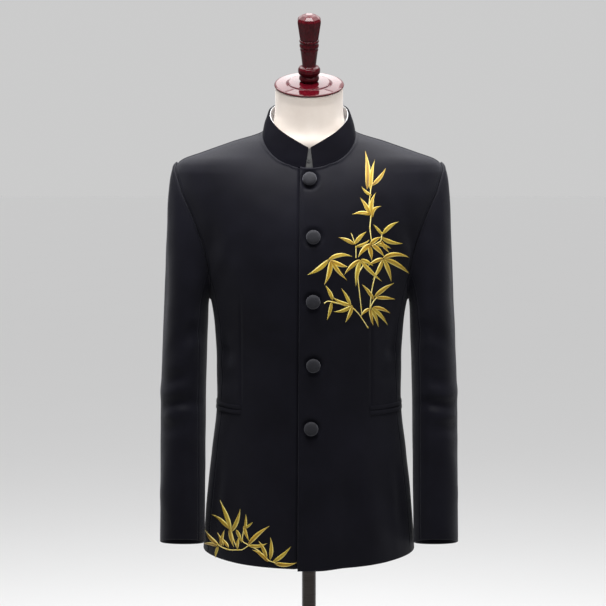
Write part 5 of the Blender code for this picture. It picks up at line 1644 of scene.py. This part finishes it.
def leaf_strip(row, hand, number):
    """One satin-stitched leaf: its points, thread coordinates and tones."""
    base_x, base_y, tip_x, tip_y, width, bend = row
    base = np.array((base_x, base_y), float)
    tip = np.array((tip_x, tip_y), float) + draw.uniform(-LEAF_JITTER, LEAF_JITTER, 2)
    base = base + (base - tip) * LEAF_OVERLAP
    length = np.linalg.norm(tip - base)
    side = np.array((-(tip - base)[1], (tip - base)[0])) / length
    bend = bend * LEAF_BEND_SCALE + draw.uniform(-LEAF_BEND_JITTER, LEAF_BEND_JITTER)
    middle = (base + tip) / 2 + side * length * bend
    t = np.linspace(0, 1, LEAF_STEPS)[:, None]
    s = np.array(LEAF_ACROSS)[None, :]
    centre = bent_line(base, middle, tip, t)
    tangent = unit(2 * (1 - t) * (middle - base) + 2 * t * (tip - middle))
    widening = (np.clip(t, 0.01, 1) / LEAF_WIDEST) ** LEAF_WIDENING
    narrowing = (np.clip(1 - t, 0.006, 1) / (1 - LEAF_WIDEST)) ** LEAF_NARROWING
    half = width * LEAF_SLIMNESS / 2 * (widening * narrowing + 0.02)
    body = np.sqrt(np.clip(1 - s**2, 0, 1)) * (0.45 + 0.55 * half / half.max())
    groove = 0.34 * bell(s, 0.0, 0.10) * smooth_step(0.05, 0.2, t) * (1 - smooth_step(0.75, 0.95, t))
    out = LEAF_HEIGHT * (body - groove) - LEAF_SINK + LAYER_STEP * (number % LEAF_LAYERS)
    points = strip_points(centre, tangent, half, s, out, hand)
    aside = s * half * THREAD_SCALE
    uv = np.stack((t * length * THREAD_SCALE - np.abs(aside) * 0.8, aside), axis=-1)
    pale = 0.30 + draw.uniform(0.0, 0.16)
    pale = pale + 0.75 * smooth_step(0.60, 0.92, np.abs(s + 0.10)) + 0.25 * smooth_step(0.72, 1.0, t)
    pale = pale - 0.34 * bell(s, 0.0, 0.15) - 0.26 * (1 - smooth_step(0.0, 0.40, t))
    return points, uv, tones(pale, draw.uniform(0.0, 0.8))


def stem_strip(spots, hand):
    """A stem with the swellings of bamboo's joints."""
    count = 9 * len(spots)
    centre = smooth_line(spots, count) if len(spots) > 2 else np.linspace(spots[0], spots[1], count)
    tangent = unit(np.gradient(centre, axis=0))
    s = np.array(STEM_ACROSS)[None, :]
    along = lengths_along(centre)[:, None]
    joint = bell((along + 4.5) % JOINT_EVERY, JOINT_EVERY / 2, 0.8)
    half = STEM_HALF_WIDTH * (1 + 0.45 * joint) * (1 - 0.25 * along / along[-1])
    out = STEM_HEIGHT * np.sqrt(np.clip(1 - s**2, 0, 1)) * (1 + 0.3 * joint) - STEM_SINK
    points = strip_points(centre, tangent, half, s, out, hand)
    uv = np.stack((along * THREAD_SCALE + s * 0.0006, s * half * THREAD_SCALE), axis=-1)
    return points, uv, tones(0.94 - 0.34 * joint + 0.12 * s, 0.2)


def add_embroidery(name, leaves, stems, hand):
    strips = [stem_strip(np.array(spots, float), hand) for spots in stems]
    strips += [leaf_strip(row, hand, number) for number, row in enumerate(leaves)]
    faces = []
    offset = 0
    for points, _, _ in strips:
        rows, columns = points.shape[:2]
        faces += faces_of(rows, columns, offset, False).tolist()
        offset += rows * columns
    points, uv, tone = (
        np.concatenate([part.reshape(-1, part.shape[-1]) for part in parts]) for parts in zip(*strips))
    thing = mesh_object(name, points, faces, uv, tone)
    thing.data.update()
    if sum(polygon.normal.y for polygon in thing.data.polygons) > 0:
        thing.data.flip_normals()
    return finish(thing, thread, "wool")


# Floor, light and camera

def add_floor_and_world():
    size = FLOOR_HALF
    corners = np.array(((-size, -size, 0), (size, -size, 0), (size, size, 0), (-size, size, 0)))
    floor = mesh_object("studio_floor", corners, [(0, 1, 2, 3)])
    floor.data.materials.append(plain_material(
        "pale_floor", (0.45, 0.45, 0.452), 0.85, 1.5, 0.01,
        Emission_Color=(1.0, 1.0, 1.0, 1.0), Emission_Strength=FLOOR_GLOW))
    nodes = Nodes(bpy.data.worlds.new("studio_world"), "Background")
    bpy.context.scene.world = nodes.owner
    toward = nodes.add("ShaderNodeVectorMath", {0: nodes.around, 1: WORLD_DARK_WAY}, operation="DOT_PRODUCT")
    greys = ((0.50, (WORLD_LIGHT,) * 3), (0.90, (WORLD_DARK,) * 3))
    nodes.set(Color=nodes.ramp(toward.outputs["Value"], greys, "EASE"))


def add_lights():
    for name, place, target, wide, deep, power in LIGHTS:
        light = bpy.data.lights.new(name, "AREA")
        light.shape = "RECTANGLE"
        light.size = wide
        light.size_y = deep
        light.energy = power
        lamp = placed(name, light)
        lamp.location = place
        lamp.rotation_euler = (Vector(target) - Vector(place)).to_track_quat("-Z", "Y").to_euler()


def add_camera():
    camera = bpy.data.cameras.new("camera")
    camera.sensor_width = SENSOR
    camera.lens = LENS
    viewer = placed("camera", camera)
    viewer.location = CAMERA_PLACE
    viewer.rotation_euler = (math.pi / 2 - CAMERA_PITCH, 0.0, 0.0)
    bpy.context.scene.camera = viewer
    bpy.context.scene.view_settings.view_transform = "Standard"


body = add_body()
sleeves = add_sleeves()
collar, lining = add_collar()
add_buttons()
add_pockets()
add_form()
add_stand()
chest_spray = add_embroidery("embroidery_chest", CHEST_LEAVES, CHEST_STEMS, "left")
hem_spray = add_embroidery("embroidery_hem", HEM_LEAVES, HEM_STEMS, "right")
add_floor_and_world()
add_lights()
add_camera()

# What each piece of cloth was cut to
for node, piece in {**body, **sleeves, "collar": collar, "collar_lining": lining}.items():
    width, length, area = piece["cut"]
